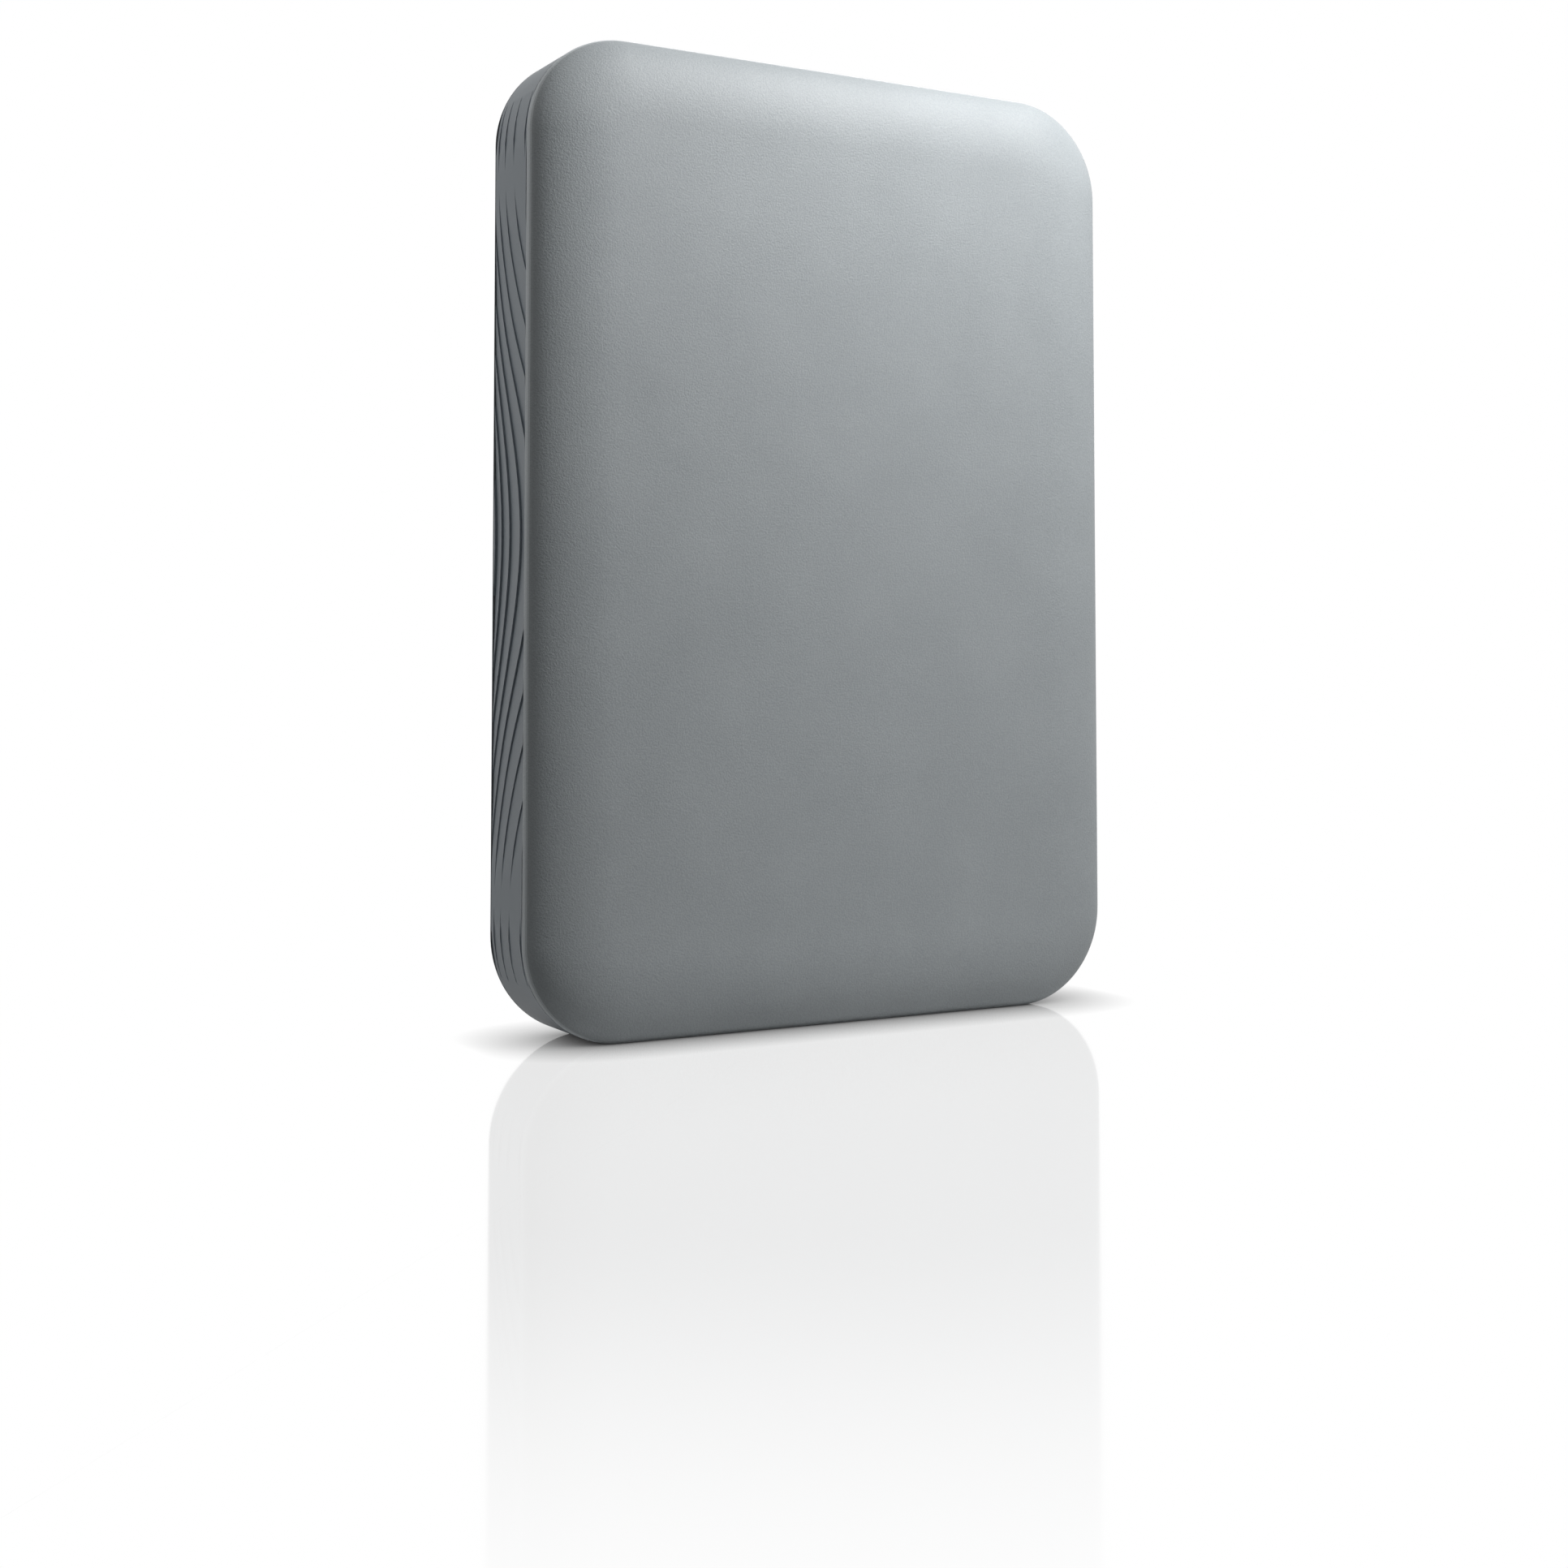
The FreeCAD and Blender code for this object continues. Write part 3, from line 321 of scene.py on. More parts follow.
SOFT_GREY = Finish(
    "soft_grey_cover", (0.212, 0.233, 0.244), (0.380, 0.405, 0.418), grain_mm=0.25, relief_mm=0.072,
    relief=0.8, roughness=(0.48, 0.58), specular=0.35,
)
# Painted highlight on the front cover's rim: a pale colour on the faces that turn towards the side.
FRONT_GREY = replace(
    SOFT_GREY, name="soft_grey_front_cover", painted_light=PaintedLightByTilt((0.64, 0.68, 0.70), start=-0.58, full=-0.30),
)
# Painted light on the band's rib flanks that face the front: a lighter colour than the band, standing in for the
# light that the flanks miss.
BAND_GREY = Finish(
    "satin_band_grey", (0.236, 0.270, 0.298), (0.266, 0.300, 0.330), grain_mm=0.22, relief_mm=0.008,
    relief=0.15, roughness=(0.40, 0.50), specular=0.28, painted_light=PaintedLightByTilt((0.360, 0.405, 0.440), start=-0.22, full=-0.32),
)
FOOT_RUBBER = Finish(
    "foot_rubber", (0.020, 0.020, 0.021), (0.036, 0.036, 0.037), grain_mm=0.35, relief_mm=0.02,
    relief=0.35, roughness=(0.72, 0.85), specular=0.3,
)
BUMPER_RUBBER = Finish(
    "bumper_rubber", (0.028, 0.029, 0.031), (0.045, 0.046, 0.048), grain_mm=0.5, relief_mm=0.03,
    relief=0.3, roughness=(0.65, 0.8), specular=0.3,
)
FOAM = Finish(
    "pad_foam", (0.050, 0.050, 0.054), (0.110, 0.110, 0.116), grain=Grain.CELLS, grain_mm=0.4,
    relief_mm=0.12, relief=0.8, roughness=(0.85, 0.95), specular=0.2, sheen=0.2,
)
CAST_ALUMINIUM = Finish(
    "cast_aluminium", (0.52, 0.53, 0.54), (0.62, 0.63, 0.64), grain_mm=0.25, relief_mm=0.02,
    relief=0.25, roughness=(0.42, 0.55), metallic=1.0,
)
LID_STEEL = Finish(
    "brushed_lid_steel", (0.58, 0.58, 0.57), (0.68, 0.68, 0.67), grain=Grain.BRUSHED, grain_mm=0.12,
    relief_mm=0.006, relief=0.2, roughness=(0.28, 0.40), metallic=1.0,
)
YOKE_STEEL = Finish(
    "nickel_yoke_steel", (0.55, 0.54, 0.51), (0.63, 0.62, 0.59), grain=Grain.BRUSHED, grain_mm=0.15,
    relief_mm=0.004, relief=0.15, roughness=(0.25, 0.36), metallic=1.0,
)
TURNED_STEEL = Finish(
    "turned_steel", (0.60, 0.60, 0.61), (0.70, 0.70, 0.71), grain=Grain.RINGS, grain_mm=0.18,
    relief_mm=0.004, relief=0.12, roughness=(0.20, 0.30), metallic=1.0, centre_mm=SPINDLE_MM,
)
PIVOT_STEEL = Finish(
    "turned_pivot_steel", (0.58, 0.58, 0.59), (0.68, 0.68, 0.69), grain=Grain.RINGS, grain_mm=0.15,
    relief_mm=0.004, relief=0.12, roughness=(0.22, 0.32), metallic=1.0, centre_mm=PIVOT_MM,
)
DISC_MIRROR = Finish(
    "polished_disc", (0.66, 0.66, 0.67), (0.72, 0.72, 0.73), grain=Grain.RINGS, grain_mm=0.10,
    relief_mm=0.001, relief=0.03, roughness=(0.04, 0.08), metallic=1.0, centre_mm=SPINDLE_MM,
)
ARM_ALUMINIUM = Finish(
    "machined_arm_aluminium", (0.70, 0.71, 0.72), (0.78, 0.79, 0.80), grain=Grain.BRUSHED, grain_mm=0.08,
    relief_mm=0.003, relief=0.15, roughness=(0.24, 0.34), metallic=1.0,
)
BLADE_STEEL = Finish(
    "spring_blade_steel", (0.62, 0.60, 0.56), (0.70, 0.68, 0.64), grain=Grain.BRUSHED, grain_mm=0.05,
    relief_mm=0.001, relief=0.1, roughness=(0.18, 0.28), metallic=1.0,
)
COIL_COPPER = Finish(
    "enamelled_coil_copper", (0.55, 0.22, 0.10), (0.68, 0.30, 0.15), grain=Grain.RINGS, grain_mm=0.16,
    relief_mm=0.04, relief=0.7, roughness=(0.25, 0.38), metallic=1.0, coat=0.4, centre_mm=PIVOT_MM,
)
STATOR_LAMINATE = Finish(
    "wound_stator", (0.42, 0.19, 0.09), (0.56, 0.26, 0.13), grain=Grain.RINGS, grain_mm=0.2,
    relief_mm=0.04, relief=0.6, roughness=(0.3, 0.42), metallic=1.0, centre_mm=SPINDLE_MM,
)
MAGNET_NICKEL = Finish(
    "plated_magnet", (0.46, 0.46, 0.45), (0.54, 0.54, 0.53), grain_mm=0.2, relief_mm=0.006,
    relief=0.12, roughness=(0.22, 0.34), metallic=1.0,
)
BOARD_GREEN = Finish(
    "circuit_board", (0.012, 0.075, 0.040), (0.030, 0.150, 0.075), grain=Grain.TRACES, grain_mm=1.6,
    relief_mm=0.03, relief=0.5, roughness=(0.30, 0.42), coat=0.3,
)
CHIP_BLACK = Finish(
    "chip_epoxy", (0.018, 0.018, 0.019), (0.034, 0.034, 0.035), grain_mm=0.12, relief_mm=0.008,
    relief=0.3, roughness=(0.45, 0.6), specular=0.4,
)
CRYSTAL_CAN = Finish(
    "crystal_can", (0.64, 0.64, 0.62), (0.72, 0.72, 0.70), grain=Grain.BRUSHED, grain_mm=0.05,
    relief_mm=0.002, relief=0.15, roughness=(0.22, 0.34), metallic=1.0,
)
PLUG_PLASTIC = Finish(
    "plug_plastic", (0.022, 0.022, 0.024), (0.042, 0.042, 0.045), grain_mm=0.18, relief_mm=0.01,
    relief=0.25, roughness=(0.38, 0.5), specular=0.45,
)
RAMP_PLASTIC = Finish(
    "ramp_plastic", (0.60, 0.57, 0.49), (0.68, 0.65, 0.57), grain_mm=0.2, relief_mm=0.006,
    relief=0.15, roughness=(0.35, 0.45),
)
FILTER_FELT = Finish(
    "filter_felt", (0.62, 0.61, 0.58), (0.76, 0.75, 0.72), grain=Grain.CELLS, grain_mm=0.25,
    relief_mm=0.08, relief=0.7, roughness=(0.85, 0.95), specular=0.2, sheen=0.3,
)
GASKET_RUBBER = Finish(
    "gasket_rubber", (0.022, 0.022, 0.023), (0.040, 0.040, 0.041), grain_mm=0.2, relief_mm=0.01,
    relief=0.2, roughness=(0.55, 0.7), specular=0.3,
)
FLEX_AMBER = Finish(
    "flex_circuit", (0.40, 0.16, 0.03), (0.52, 0.24, 0.06), grain=Grain.BRUSHED, grain_mm=0.2,
    relief_mm=0.01, relief=0.3, roughness=(0.25, 0.35), coat=0.3,
)
SOCKET_STEEL = Finish(
    "socket_steel", (0.62, 0.62, 0.61), (0.70, 0.70, 0.69), grain=Grain.BRUSHED, grain_mm=0.06,
    relief_mm=0.002, relief=0.15, roughness=(0.20, 0.32), metallic=1.0,
)
CONTACT_GOLD = Finish(
    "contact_gold", (0.78, 0.56, 0.23), (0.86, 0.64, 0.30), grain=Grain.BRUSHED, grain_mm=0.04,
    relief_mm=0.001, relief=0.1, roughness=(0.16, 0.26), metallic=1.0,
)
PIPE_CLEAR = Finish(
    "frosted_light_pipe", (0.80, 0.82, 0.84), (0.86, 0.88, 0.90), grain_mm=0.1, relief_mm=0.004,
    relief=0.2, roughness=(0.30, 0.42), transmission=0.55,
)
LAMP_LENS = Finish(
    "lamp_lens", (0.72, 0.74, 0.70), (0.80, 0.82, 0.78), grain_mm=0.1, relief_mm=0.004,
    relief=0.15, roughness=(0.15, 0.25), transmission=0.35,
)

NODE_FINISHES: dict[str, Finish] = {
    "side_band": BAND_GREY,
    "front_cover": FRONT_GREY,
    "back_cover": SOFT_GREY,
    "light_pipe": PIPE_CLEAR,
    "front_pad": FOAM,
    "back_pad": FOAM,
    "bridge_board": BOARD_GREEN,
    "bridge_chip": CHIP_BLACK,
    "bridge_crystal": CRYSTAL_CAN,
    "status_led": LAMP_LENS,
    "sata_receptacle": PLUG_PLASTIC,
    "usb_shell": SOCKET_STEEL,
    "usb_tongue": PLUG_PLASTIC,
    "drive_base": CAST_ALUMINIUM,
    "drive_lid": LID_STEEL,
    "lid_gasket": GASKET_RUBBER,
    "air_filter": FILTER_FELT,
    "bearing_sleeve": TURNED_STEEL,
    "motor_stator": STATOR_LAMINATE,
    "spindle_hub": TURNED_STEEL,
    "rotor_magnet": MAGNET_NICKEL,
    "storage_disc": DISC_MIRROR,
    "disc_clamp": TURNED_STEEL,
    "pivot_post": PIVOT_STEEL,
    "pivot_sleeve": PIVOT_STEEL,
    "actuator_arms": ARM_ALUMINIUM,
    "voice_coil": COIL_COPPER,
    "lower_yoke": YOKE_STEEL,
    "upper_yoke": YOKE_STEEL,
    "lower_magnet": MAGNET_NICKEL,
    "upper_magnet": MAGNET_NICKEL,
    "load_ramp": RAMP_PLASTIC,
    "flex_bracket": PLUG_PLASTIC,
    "head_flex": FLEX_AMBER,
    "head_front": BLADE_STEEL,
    "head_back": BLADE_STEEL,
    "controller_board": BOARD_GREEN,
    "controller_chip": CHIP_BLACK,
    "motor_driver_chip": CHIP_BLACK,
    "memory_chip": CHIP_BLACK,
    "sata_plug": PLUG_PLASTIC,
}
NODE_PREFIX_FINISHES: dict[str, Finish] = {FOOT_PREFIX: FOOT_RUBBER, BUMPER_PREFIX: BUMPER_RUBBER}


class Bench:
    """One new piece on the bench, shaped with edit-mode operators."""

    def __init__(self, name: str, low: Point, high: Point) -> None:
        """Starts a piece from a box.

        Args:
            name: name of the piece.
            low: lowest corner of the box.
            high: highest corner of the box.
        """
        bpy.ops.object.select_all(action="DESELECT")
        middle = [(a + b) / 2 for a, b in zip(low, high)]
        size = [b - a for a, b in zip(low, high)]
        bpy.ops.mesh.primitive_cube_add(size=1.0, location=middle, scale=size)
        self.piece = bpy.context.object
        self.piece.name = name
        self.piece.data.name = name
        bpy.ops.object.transform_apply(location=True, rotation=True, scale=True)
        bpy.ops.object.mode_set(mode="EDIT")

    def pick_faces(self, test: Callable[[bmesh.types.BMFace], bool]) -> None:
        """Selects the faces that pass a test and nothing else.

        Args:
            test: says whether a face is wanted.
        """
        bpy.context.tool_settings.mesh_select_mode = (False, False, True)
        bpy.ops.mesh.select_all(action="DESELECT")
        shape = bmesh.from_edit_mesh(self.piece.data)
        for face in [face for face in shape.faces if test(face)]:
            face.select_set(True)
        bmesh.update_edit_mesh(self.piece.data)

    def pick_edges(self, test: Callable[[bmesh.types.BMEdge], bool]) -> None:
        """Selects the edges that pass a test and nothing else.

        Args:
            test: says whether an edge is wanted.
        """
        bpy.context.tool_settings.mesh_select_mode = (False, True, False)
        bpy.ops.mesh.select_all(action="DESELECT")
        shape = bmesh.from_edit_mesh(self.piece.data)
        for edge in [edge for edge in shape.edges if test(edge)]:
            edge.select_set(True)
        bmesh.update_edit_mesh(self.piece.data)

    def pick_edges_at(self, y: float) -> None:
        """Selects the edges that lie in one plane across Y.

        Args:
            y: place of the plane.
        """
        self.pick_edges(lambda edge: all(abs(vert.co.y - y) < SAME_PLACE for vert in edge.verts))

    def round_corners(self, radius: float, segments: int) -> None:
        """Rounds the four edges of the box that run along Y.

        Args:
            radius: radius of the rounding.
            segments: number of faces across it.
        """
        self.pick_edges(lambda edge: abs((edge.verts[0].co - edge.verts[1].co).normalized().y) > ALONG_Y)
        self.round_edges(radius, segments)

    def round_edges(self, radius: float, segments: int) -> None:
        """Rounds the selected edges.

        Args:
            radius: radius of the rounding.
            segments: number of faces across it.
        """
        bpy.ops.mesh.bevel(offset=radius, offset_type="OFFSET", segments=segments, affect="EDGES")

    def step(self, inwards: float, outwards: float) -> None:
        """Carries the selected face one step of a section.

        Args:
            inwards: distance from the outline.
            outwards: distance along the face's own direction.
        """
        bpy.ops.mesh.inset(thickness=inwards, depth=outwards, use_even_offset=True)

    def pull(self, shift: Point) -> None:
        """Extrudes the selected faces.

        Args:
            shift: how far they move.
        """
        bpy.ops.mesh.extrude_region_move(TRANSFORM_OT_translate={"value": shift})

    def done(self, smooth_deg: float) -> bpy.types.Object:
        """Leaves edit mode and smooths the shading.

        Args:
            smooth_deg: edges sharper than this stay sharp.

        Returns:
            The piece.
        """
        bpy.ops.mesh.select_all(action="SELECT")
        bpy.ops.mesh.normals_make_consistent(inside=False)
        bpy.ops.object.mode_set(mode="OBJECT")
        smooth(self.piece, smooth_deg)
        return self.piece


def smooth(piece: bpy.types.Object, angle_deg: float) -> None:
    """Smooths a piece's shading and lets its large faces set the normals.

    Args:
        piece: the piece.
        angle_deg: edges sharper than this stay sharp.
    """
    bpy.ops.object.select_all(action="DESELECT")
    piece.select_set(True)
    bpy.context.view_layer.objects.active = piece
    bpy.ops.object.shade_smooth_by_angle(angle=math.radians(angle_deg))
    weigh = piece.modifiers.new("even_normals", "WEIGHTED_NORMAL")
    weigh.keep_sharp = True
    weigh.weight = NORMAL_WEIGHT
    bpy.ops.object.modifier_apply(modifier=weigh.name)


@dataclass
class CoverShell:
    """Rolled cover that closes one side of the case, with its reveal, lips and hollow inside."""

    node: str
    facing: Facing
    finish: Finish
    rise: float
    rim: float
    roll_width: float
    roll_rise: float
    corner: float
    lip_outer: float
    lip_inner: float
    wall: float = 1.6 * MM
    reveal_width: float = 0.2 * MM
    reveal_depth: float = 0.6 * MM
    lip_depth: float = 1.1 * MM
    corner_faces: int = 28
    roll_faces: int = 22
    least_rim: float = 0.02 * MM
    flat_border: float = 0.4 * MM
    lip_slack: float = 0.1 * MM
    least_lip_length: float = 40.0 * MM
    smooth_deg: float = 32.0

    def roll_points(self) -> list[tuple[float, float]]:
        """Section of the roll, from the rim to the flat face.

        Returns:
            Distances inwards from the outline with heights above the parting plane.
        """
        start = math.asin((self.rim - self.rise + self.roll_rise) / self.roll_rise)
        width = self.roll_width * math.cos(start)
        points = []
        for index in range(self.roll_faces + 1):
            turn = start + (math.pi / 2 - start) * index / self.roll_faces
            points.append((
                width - self.roll_width * math.cos(turn),
                self.rise - self.roll_rise + self.roll_rise * math.sin(turn),
            ))
        return points

    def build(self) -> bpy.types.Object:
        """Models the cover over its node.

        Returns:
            The cover.
        """
        toward = self.facing.value
        low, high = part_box(self.node)
        face_y = low[1] if self.facing is Facing.FRONT else high[1]
        parting = face_y - toward * self.rise
        rim = max(self.rim, self.reveal_width + self.least_rim)
        ends = sorted((parting + toward * self.reveal_width, parting + toward * rim))
        bench = Bench(f"{self.node}_shell", (low[0], ends[0], low[2]), (high[0], ends[1], high[2]))
        bench.round_corners(self.corner, self.corner_faces)
        points = self.roll_points()
        bench.pick_faces(lambda face: face.normal.y * toward > ALONG_Y)
        previous = (0.0, rim)
        for point in points[1:]:
            bench.step(point[0] - previous[0], point[1] - previous[1])
            previous = point
        bench.step(self.flat_border, 0.0)
        self._hollow(bench, points[-1][0], parting, toward)
        piece = bench.done(self.smooth_deg)
        self.finish.dress(piece)
        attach(piece, Part.HOUSING.value)
        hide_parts(self.node)
        return piece

    def _hollow(self, bench: Bench, flat_from: float, parting: float, toward: int) -> None:
        """Makes the reveal, the inside and the lips.

        Args:
            bench: the cover on the bench.
            flat_from: distance from the outline at which the flat face starts.
            parting: the parting plane along Y.
            toward: direction of the face along Y.
        """
        run = (flat_from - self.lip_inner) / (self.roll_width - self.wall)
        shoulder = self.rise - self.roll_rise + (self.roll_rise - self.wall) * math.sqrt(1 - run**2)
        bench.pick_faces(lambda face: face.normal.y * toward < -ALONG_Y)
        bench.step(self.reveal_depth, 0.0)
        bench.pull((0.0, -toward * self.reveal_width, 0.0))
        bench.step(self.lip_outer - self.reveal_depth, 0.0)
        bench.step(self.lip_inner - self.lip_outer, 0.0)
        bench.pull((0.0, toward * shoulder, 0.0))
        bench.step(flat_from - self.lip_inner, -(self.rise - self.wall - shoulder))
        lip = self.lip_inner - self.lip_outer

        def on_lip(face: bmesh.types.BMFace) -> bool:
            """Says whether a face is one of the four long lip faces on the parting plane.

            Args:
                face: a face of the cover.

            Returns:
                Whether it carries a lip.
            """
            if abs(face.calc_center_median().y - parting) > SAME_PLACE or len(face.verts) != 4:
                return False
            lengths = sorted(edge.calc_length() for edge in face.edges)
            return abs(lengths[0] - lip) < self.lip_slack and lengths[2] > self.least_lip_length

        bench.pick_faces(on_lip)
        bench.pull((0.0, -toward * self.lip_depth, 0.0))


@dataclass
class NodeSkin:
    """Smooth copy of a node whose own facets would show."""

    node: str
    finish: Finish
    angle_deg: float

    def build(self) -> bpy.types.Object:
        """Copies the node, joins its loose triangles and smooths it.

        Returns:
            The copy, which stands for the node.
        """
        source = bpy.data.objects[self.node]
        bpy.ops.object.select_all(action="DESELECT")
        piece = source.copy()
        piece.data = source.data.copy()
        piece.name = f"{self.node}_skin"
        for key in list(piece.keys()):
            del piece[key]
        piece.parent = None
        bpy.context.scene.collection.objects.link(piece)
        piece.select_set(True)
        bpy.context.view_layer.objects.active = piece
        bpy.ops.object.mode_set(mode="EDIT")
        bpy.ops.mesh.select_all(action="SELECT")
        bpy.ops.mesh.remove_doubles(threshold=SAME_PLACE)
        bpy.ops.object.mode_set(mode="OBJECT")
        bpy.ops.mesh.customdata_custom_splitnormals_clear()
        smooth(piece, self.angle_deg)
        self.finish.dress(piece)
        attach(piece, Part.HOUSING.value)
        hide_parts(self.node)
        return piece


@dataclass
class RubberFoot:
    """Moulded foot with a rounded edge and a shallow dish in its face."""

    node: str
    finish: Finish = FOOT_RUBBER
    corner: float = 2.0 * MM
    edge: float = 0.3 * MM
    dish_margin: float = 1.2 * MM
    dish_depth: float = 0.12 * MM
    corner_faces: int = 8
    edge_faces: int = 4
    smooth_deg: float = 40.0

    def build(self) -> bpy.types.Object:
        """Models the foot over its node.

        Returns:
            The foot.
        """
        low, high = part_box(self.node)
        bench = Bench(f"{self.node}_pad", tuple(low), tuple(high))
        bench.round_corners(self.corner, self.corner_faces)
        outer = high[1]
        bench.pick_edges_at(outer)
        bench.round_edges(self.edge, self.edge_faces)
        bench.pick_faces(
            lambda face: face.normal.y > ALONG_Y and face.calc_center_median().y > outer - SAME_PLACE
        )
        bench.step(self.dish_margin, 0.0)
        bench.step(self.dish_depth, -self.dish_depth)
        piece = bench.done(self.smooth_deg)
        self.finish.dress(piece)
        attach(piece, Part.HOUSING.value)
        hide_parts(self.node)
        return piece


@dataclass
class SocketContacts:
    """Gold contact strips on the two tongues of the USB socket."""

    wide_count: int = 5
    narrow_count: int = 5
    wide_span: tuple[float, float] = (-5.15 * MM, 0.45 * MM)
    narrow_span: tuple[float, float] = (2.95 * MM, 5.15 * MM)
    strip_width: float = 0.26 * MM
    strip_length: float = 3.2 * MM
    strip_height: float = 0.05 * MM
    tip_gap: float = 0.3 * MM
    tongue_half: float = 0.3 * MM
    most_of_pitch: float = 0.6
    nose_share: float = 0.6
    nose_faces: int = 2
    smooth_deg: float = 50.0
    finish: Finish = CONTACT_GOLD

    def build(self) -> list[bpy.types.Object]:
        """Models each strip on the front of its tongue.

        Returns:
            The strips.
        """
        low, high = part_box("usb_tongue")
        middle_y = (low[1] + high[1]) / 2
        pieces = []
        rows = (("wide", self.wide_count, self.wide_span), ("narrow", self.narrow_count, self.narrow_span))
        for label, count, span in rows:
            pitch = (span[1] - span[0]) / count
            for index in range(count):
                x = span[0] + pitch * (index + 0.5)
                width = min(self.strip_width, self.most_of_pitch * pitch)
                pieces.append(self._strip(f"usb_contact_{label}_{index + 1}", x, width, middle_y, high[2]))
        return pieces

    def _strip(self, name: str, x: float, width: float, middle_y: float, top: float) -> bpy.types.Object:
        """Models one strip with a rounded nose.

        Args:
            name: name of the strip.
            x: its middle across the socket.
            width: its width.
            middle_y: middle plane of the tongue.
            top: end of the tongue.

        Returns:
            The strip.
        """
        face = middle_y - self.tongue_half
        front = face - self.strip_height
        end = top - self.tip_gap
        bench = Bench(name, (x - width / 2, front, end - self.strip_length), (x + width / 2, face, end))
        bench.pick_edges_at(front)
        bench.round_edges(self.strip_height * self.nose_share, self.nose_faces)
        piece = bench.done(self.smooth_deg)
        self.finish.dress(piece)
        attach(piece, Part.HOUSING.value)
        return piece


@dataclass(frozen=True)
class Lamp:
    """Square soft lamp, with its place, its aim and its side in millimetres."""

    name: str
    place_mm: Point
    aim_mm: Point
    side_mm: float
    watts: float

    def build(self) -> None:
        """Adds the lamp to the scene."""
        data = bpy.data.lights.new(self.name, "AREA")
        data.shape = "SQUARE"
        data.size = self.side_mm * MM
        data.energy = self.watts
        lamp = bpy.data.objects.new(self.name, data)
        lamp.location = Vector(self.place_mm) * MM
        lamp.rotation_euler = (Vector(self.aim_mm) - Vector(self.place_mm)).to_track_quat("-Z", "Y").to_euler()
        bpy.context.scene.collection.objects.link(lamp)


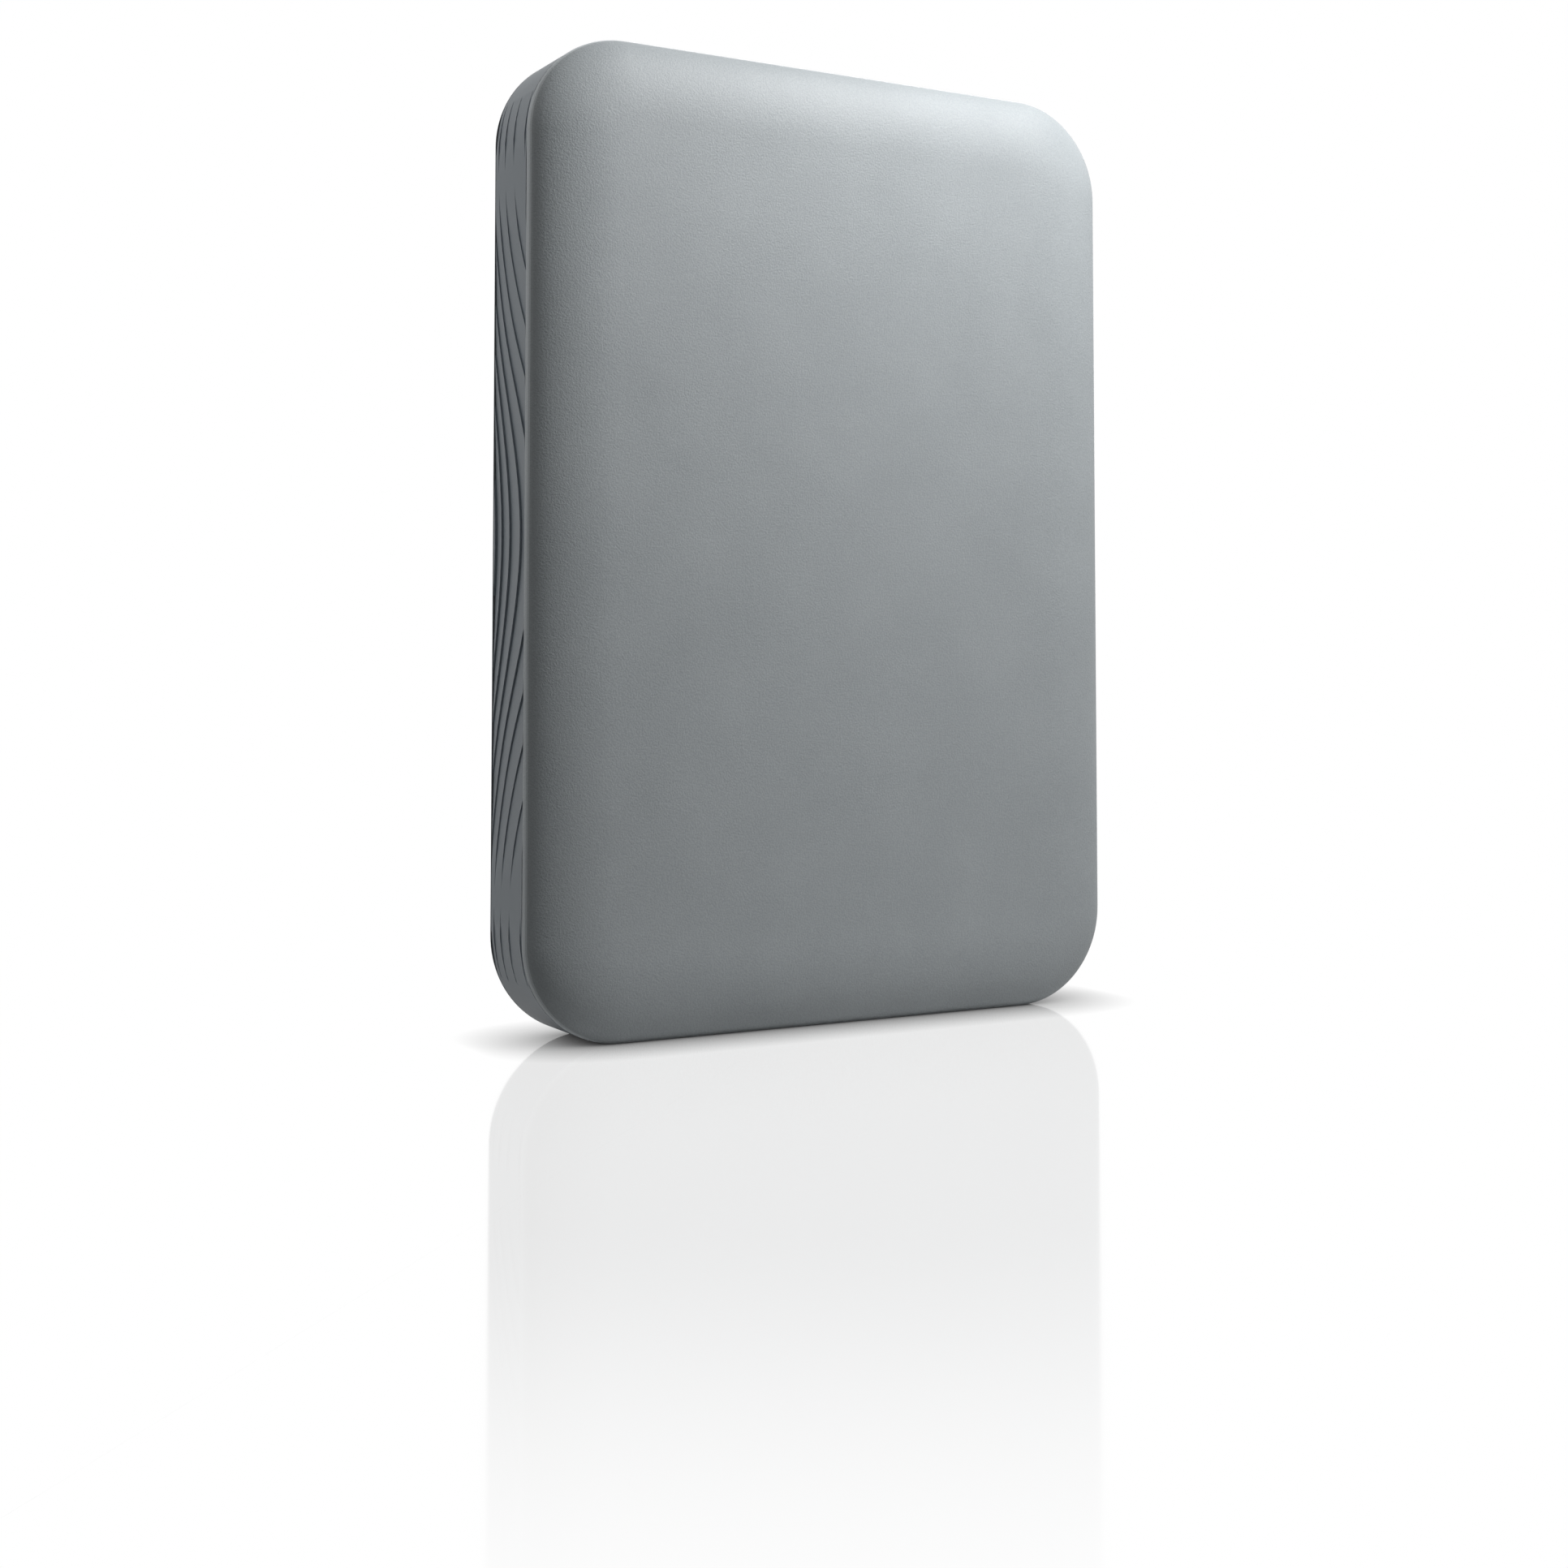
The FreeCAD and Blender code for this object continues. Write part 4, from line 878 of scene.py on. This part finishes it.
@dataclass
class Studio:
    """Pale floor, white surroundings, soft lamps and the camera."""

    floor_size: float = 8.0
    floor_drop: float = 0.02 * MM
    floor_pale: Colour = (0.58, 0.58, 0.58)
    floor_side: Colour = (0.02, 0.02, 0.02)
    side_from: float = -30.0 * MM
    side_to: float = -60.0 * MM
    shadow_reach: float = 9.0 * MM
    gloss_shadow_reach: float = 80.0 * MM
    shadow_samples: int = 24
    mirror_roughness: float = 0.06
    mirror_share: float = 0.215
    mirror_near: float = 105.0 * MM
    mirror_far: float = 200.0 * MM
    surround: float = 0.05
    camera_place: Point = (-145.5 * MM, -250.8 * MM, 47.4 * MM)
    camera_azimuth_deg: float = 29.434
    camera_tilt_deg: float = 2.822
    lens_mm: float = 49.48
    shift_up: float = -0.1462
    sensor_mm: float = 36.0
    nearest_seen: float = 10.0 * MM
    lamps: tuple[Lamp, ...] = (
        Lamp("key_lamp", (58.0, -92.0, 205.0), (0.0, -9.0, 63.0), side_mm=60.0, watts=0.365),
        Lamp("fill_lamp", (183.0, -228.0, 90.0), (0.0, -9.0, 63.0), side_mm=150.0, watts=0.120),
        Lamp("rim_lamp", (-300.0, 100.0, 230.0), (-43.0, 0.0, 63.0), side_mm=160.0, watts=0.265),
    )

    def build(self) -> None:
        """Makes the stage, lamps, surroundings and camera."""
        self._floor()
        self._world()
        for lamp in self.lamps:
            lamp.build()
        self._camera()
        bpy.context.scene.view_settings.view_transform = "Standard"

    def _floor(self) -> None:
        """Makes the floor: white with a contact shadow and a faint mirror image to look at, and matt as a light."""
        bpy.ops.object.select_all(action="DESELECT")
        bpy.ops.mesh.primitive_plane_add(size=self.floor_size, location=(0.0, 0.0, -self.floor_drop))
        floor = bpy.context.object
        floor.name = "studio_floor"
        made = bpy.data.materials.new("studio_floor")
        made.use_nodes = True
        nodes, links = made.node_tree.nodes, made.node_tree.links
        nodes.clear()
        where = nodes.new("ShaderNodeTexCoord").outputs["Object"]
        mirror = nodes.new("ShaderNodeBsdfGlossy")
        mirror.inputs["Color"].default_value = (1.0, 1.0, 1.0, 1.0)
        mirror.inputs["Roughness"].default_value = self.mirror_roughness
        surface = nodes.new("ShaderNodeMixShader")
        links.new(self._mirror_share(nodes, links, where), surface.inputs["Fac"])
        links.new(self._shadowed_white(nodes, links), surface.inputs[1])
        links.new(mirror.outputs["BSDF"], surface.inputs[2])
        seen = nodes.new("ShaderNodeMixShader")
        links.new(self._seen_rays(nodes, links), seen.inputs["Fac"])
        links.new(self._bounce(nodes, links, where), seen.inputs[1])
        links.new(surface.outputs["Shader"], seen.inputs[2])
        output = nodes.new("ShaderNodeOutputMaterial")
        links.new(seen.outputs["Shader"], output.inputs["Surface"])
        floor.data.materials.append(made)

    def _shadowed_white(self, nodes: bpy.types.Nodes, links: bpy.types.NodeLinks) -> bpy.types.NodeSocket:
        """White with a soft contact shadow, which reaches further where gloss shows it.

        Args:
            nodes: nodes of the floor.
            links: links of the floor.

        Returns:
            The shader.
        """
        path = nodes.new("ShaderNodeLightPath")
        extent = nodes.new("ShaderNodeMapRange")
        extent.inputs["To Min"].default_value = self.gloss_shadow_reach
        extent.inputs["To Max"].default_value = self.shadow_reach
        links.new(path.outputs["Is Camera Ray"], extent.inputs["Value"])
        shade = nodes.new("ShaderNodeAmbientOcclusion")
        shade.samples = self.shadow_samples
        links.new(extent.outputs["Result"], shade.inputs["Distance"])
        glow = nodes.new("ShaderNodeEmission")
        links.new(shade.outputs["Color"], glow.inputs["Color"])
        return glow.outputs["Emission"]

    def _mirror_share(
        self, nodes: bpy.types.Nodes, links: bpy.types.NodeLinks, where: bpy.types.NodeSocket
    ) -> bpy.types.NodeSocket:
        """Share of the mirror image, which fades with the distance from the drive.

        Args:
            nodes: nodes of the floor.
            links: links of the floor.
            where: place on the floor.

        Returns:
            The share.
        """
        reach = nodes.new("ShaderNodeVectorMath")
        reach.operation = "LENGTH"
        links.new(where, reach.inputs[0])
        fade = nodes.new("ShaderNodeMapRange")
        fade.interpolation_type = "SMOOTHSTEP"
        fade.inputs["From Min"].default_value = self.mirror_near
        fade.inputs["From Max"].default_value = self.mirror_far
        fade.inputs["To Min"].default_value = self.mirror_share
        fade.inputs["To Max"].default_value = 0.0
        links.new(reach.outputs["Value"], fade.inputs["Value"])
        return fade.outputs["Result"]

    def _bounce(
        self, nodes: bpy.types.Nodes, links: bpy.types.NodeLinks, where: bpy.types.NodeSocket
    ) -> bpy.types.NodeSocket:
        """Matt floor that throws light back onto the drive: pale, and dark on the left.

        Args:
            nodes: nodes of the floor.
            links: links of the floor.
            where: place on the floor.

        Returns:
            The shader.
        """
        axes = nodes.new("ShaderNodeSeparateXYZ")
        links.new(where, axes.inputs["Vector"])
        side = nodes.new("ShaderNodeMapRange")
        side.interpolation_type = "SMOOTHSTEP"
        side.inputs["From Min"].default_value = self.side_to
        side.inputs["From Max"].default_value = self.side_from
        links.new(axes.outputs["X"], side.inputs["Value"])
        tint = nodes.new("ShaderNodeMix")
        tint.data_type = "RGBA"
        tint.inputs["A"].default_value = (*self.floor_side, 1.0)
        tint.inputs["B"].default_value = (*self.floor_pale, 1.0)
        links.new(side.outputs["Result"], tint.inputs["Factor"])
        plain = nodes.new("ShaderNodeBsdfDiffuse")
        links.new(tint.outputs["Result"], plain.inputs["Color"])
        return plain.outputs["BSDF"]

    def _seen_rays(self, nodes: bpy.types.Nodes, links: bpy.types.NodeLinks) -> bpy.types.NodeSocket:
        """Rays that show the surroundings: from the camera, from gloss and through clear pieces.

        Args:
            nodes: nodes of the material or world.
            links: its links.

        Returns:
            1 for such a ray and 0 for the rest.
        """
        path = nodes.new("ShaderNodeLightPath")
        first = nodes.new("ShaderNodeMath")
        first.operation = "MAXIMUM"
        links.new(path.outputs["Is Camera Ray"], first.inputs[0])
        links.new(path.outputs["Is Glossy Ray"], first.inputs[1])
        second = nodes.new("ShaderNodeMath")
        second.operation = "MAXIMUM"
        links.new(first.outputs["Value"], second.inputs[0])
        links.new(path.outputs["Is Transmission Ray"], second.inputs[1])
        return second.outputs["Value"]

    def _world(self) -> None:
        """Makes the surroundings white to look at and dim as a light."""
        world = bpy.data.worlds.new("studio_surround")
        world.use_nodes = True
        nodes, links = world.node_tree.nodes, world.node_tree.links
        nodes.clear()
        output = nodes.new("ShaderNodeOutputWorld")
        dim = nodes.new("ShaderNodeBackground")
        dim.inputs["Color"].default_value = (1.0, 1.0, 1.0, 1.0)
        dim.inputs["Strength"].default_value = self.surround
        white = nodes.new("ShaderNodeBackground")
        white.inputs["Color"].default_value = (1.0, 1.0, 1.0, 1.0)
        white.inputs["Strength"].default_value = 1.0
        mix = nodes.new("ShaderNodeMixShader")
        links.new(self._seen_rays(nodes, links), mix.inputs["Fac"])
        links.new(dim.outputs["Background"], mix.inputs[1])
        links.new(white.outputs["Background"], mix.inputs[2])
        links.new(mix.outputs["Shader"], output.inputs["Surface"])
        bpy.context.scene.world = world

    def _camera(self) -> None:
        """Adds the camera, left of the middle and tilted up a little, with the frame moved down."""
        data = bpy.data.cameras.new("camera")
        data.lens = self.lens_mm
        data.sensor_width = self.sensor_mm
        data.sensor_fit = "HORIZONTAL"
        data.shift_y = self.shift_up
        data.clip_start = self.nearest_seen
        camera = bpy.data.objects.new("camera", data)
        camera.location = self.camera_place
        tilt = math.radians(90.0 + self.camera_tilt_deg)
        camera.rotation_euler = (tilt, 0.0, -math.radians(self.camera_azimuth_deg))
        bpy.context.scene.collection.objects.link(camera)
        bpy.context.scene.camera = camera


@dataclass
class ExternalDrive:
    """The whole drive: finishes on its nodes and the pieces that stand for some of them."""

    front: CoverShell = field(default_factory=lambda: CoverShell(
        "front_cover", Facing.FRONT, FRONT_GREY, rise=4.2 * MM, rim=0.35 * MM, roll_width=10.5 * MM,
        roll_rise=3.85 * MM, corner=13.0 * MM, lip_outer=2.3 * MM, lip_inner=3.3 * MM,
    ))
    back: CoverShell = field(default_factory=lambda: CoverShell(
        "back_cover", Facing.BACK, SOFT_GREY, rise=3.5 * MM, rim=0.2 * MM, roll_width=6.5 * MM,
        roll_rise=6.5 * MM, corner=13.0 * MM, lip_outer=2.3 * MM, lip_inner=3.3 * MM,
    ))
    band: NodeSkin = field(default_factory=lambda: NodeSkin("side_band", BAND_GREY, 9.0))
    contacts: SocketContacts = field(default_factory=SocketContacts)

    def dress_nodes(self, nodes: dict[str, bpy.types.Object]) -> None:
        """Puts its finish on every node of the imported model.

        Args:
            nodes: the nodes by name.
        """
        for name, node in nodes.items():
            shared = [finish for prefix, finish in NODE_PREFIX_FINISHES.items() if name.startswith(prefix)]
            finish = shared[0] if shared else NODE_FINISHES[name]
            finish.dress(node)
            LOG.info("node %s: %s", name, finish.name)

    def build(self, nodes: dict[str, bpy.types.Object]) -> None:
        """Dresses the nodes and models the visible pieces.

        Args:
            nodes: the nodes by name.
        """
        self.dress_nodes(nodes)
        pieces = [self.front.build(), self.back.build(), self.band.build()]
        pieces += [RubberFoot(name).build() for name in sorted(nodes) if name.startswith(FOOT_PREFIX)]
        pieces += self.contacts.build()
        for piece in pieces:
            LOG.info("piece %s: %d faces", piece.name, len(piece.data.polygons))


def main() -> None:
    """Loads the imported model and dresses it."""
    logging.basicConfig(level=logging.INFO, format="%(name)s %(message)s")
    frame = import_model()
    ExternalDrive().build(frame["nodes"])
    Studio().build()


if __name__ == "__main__":
    main()
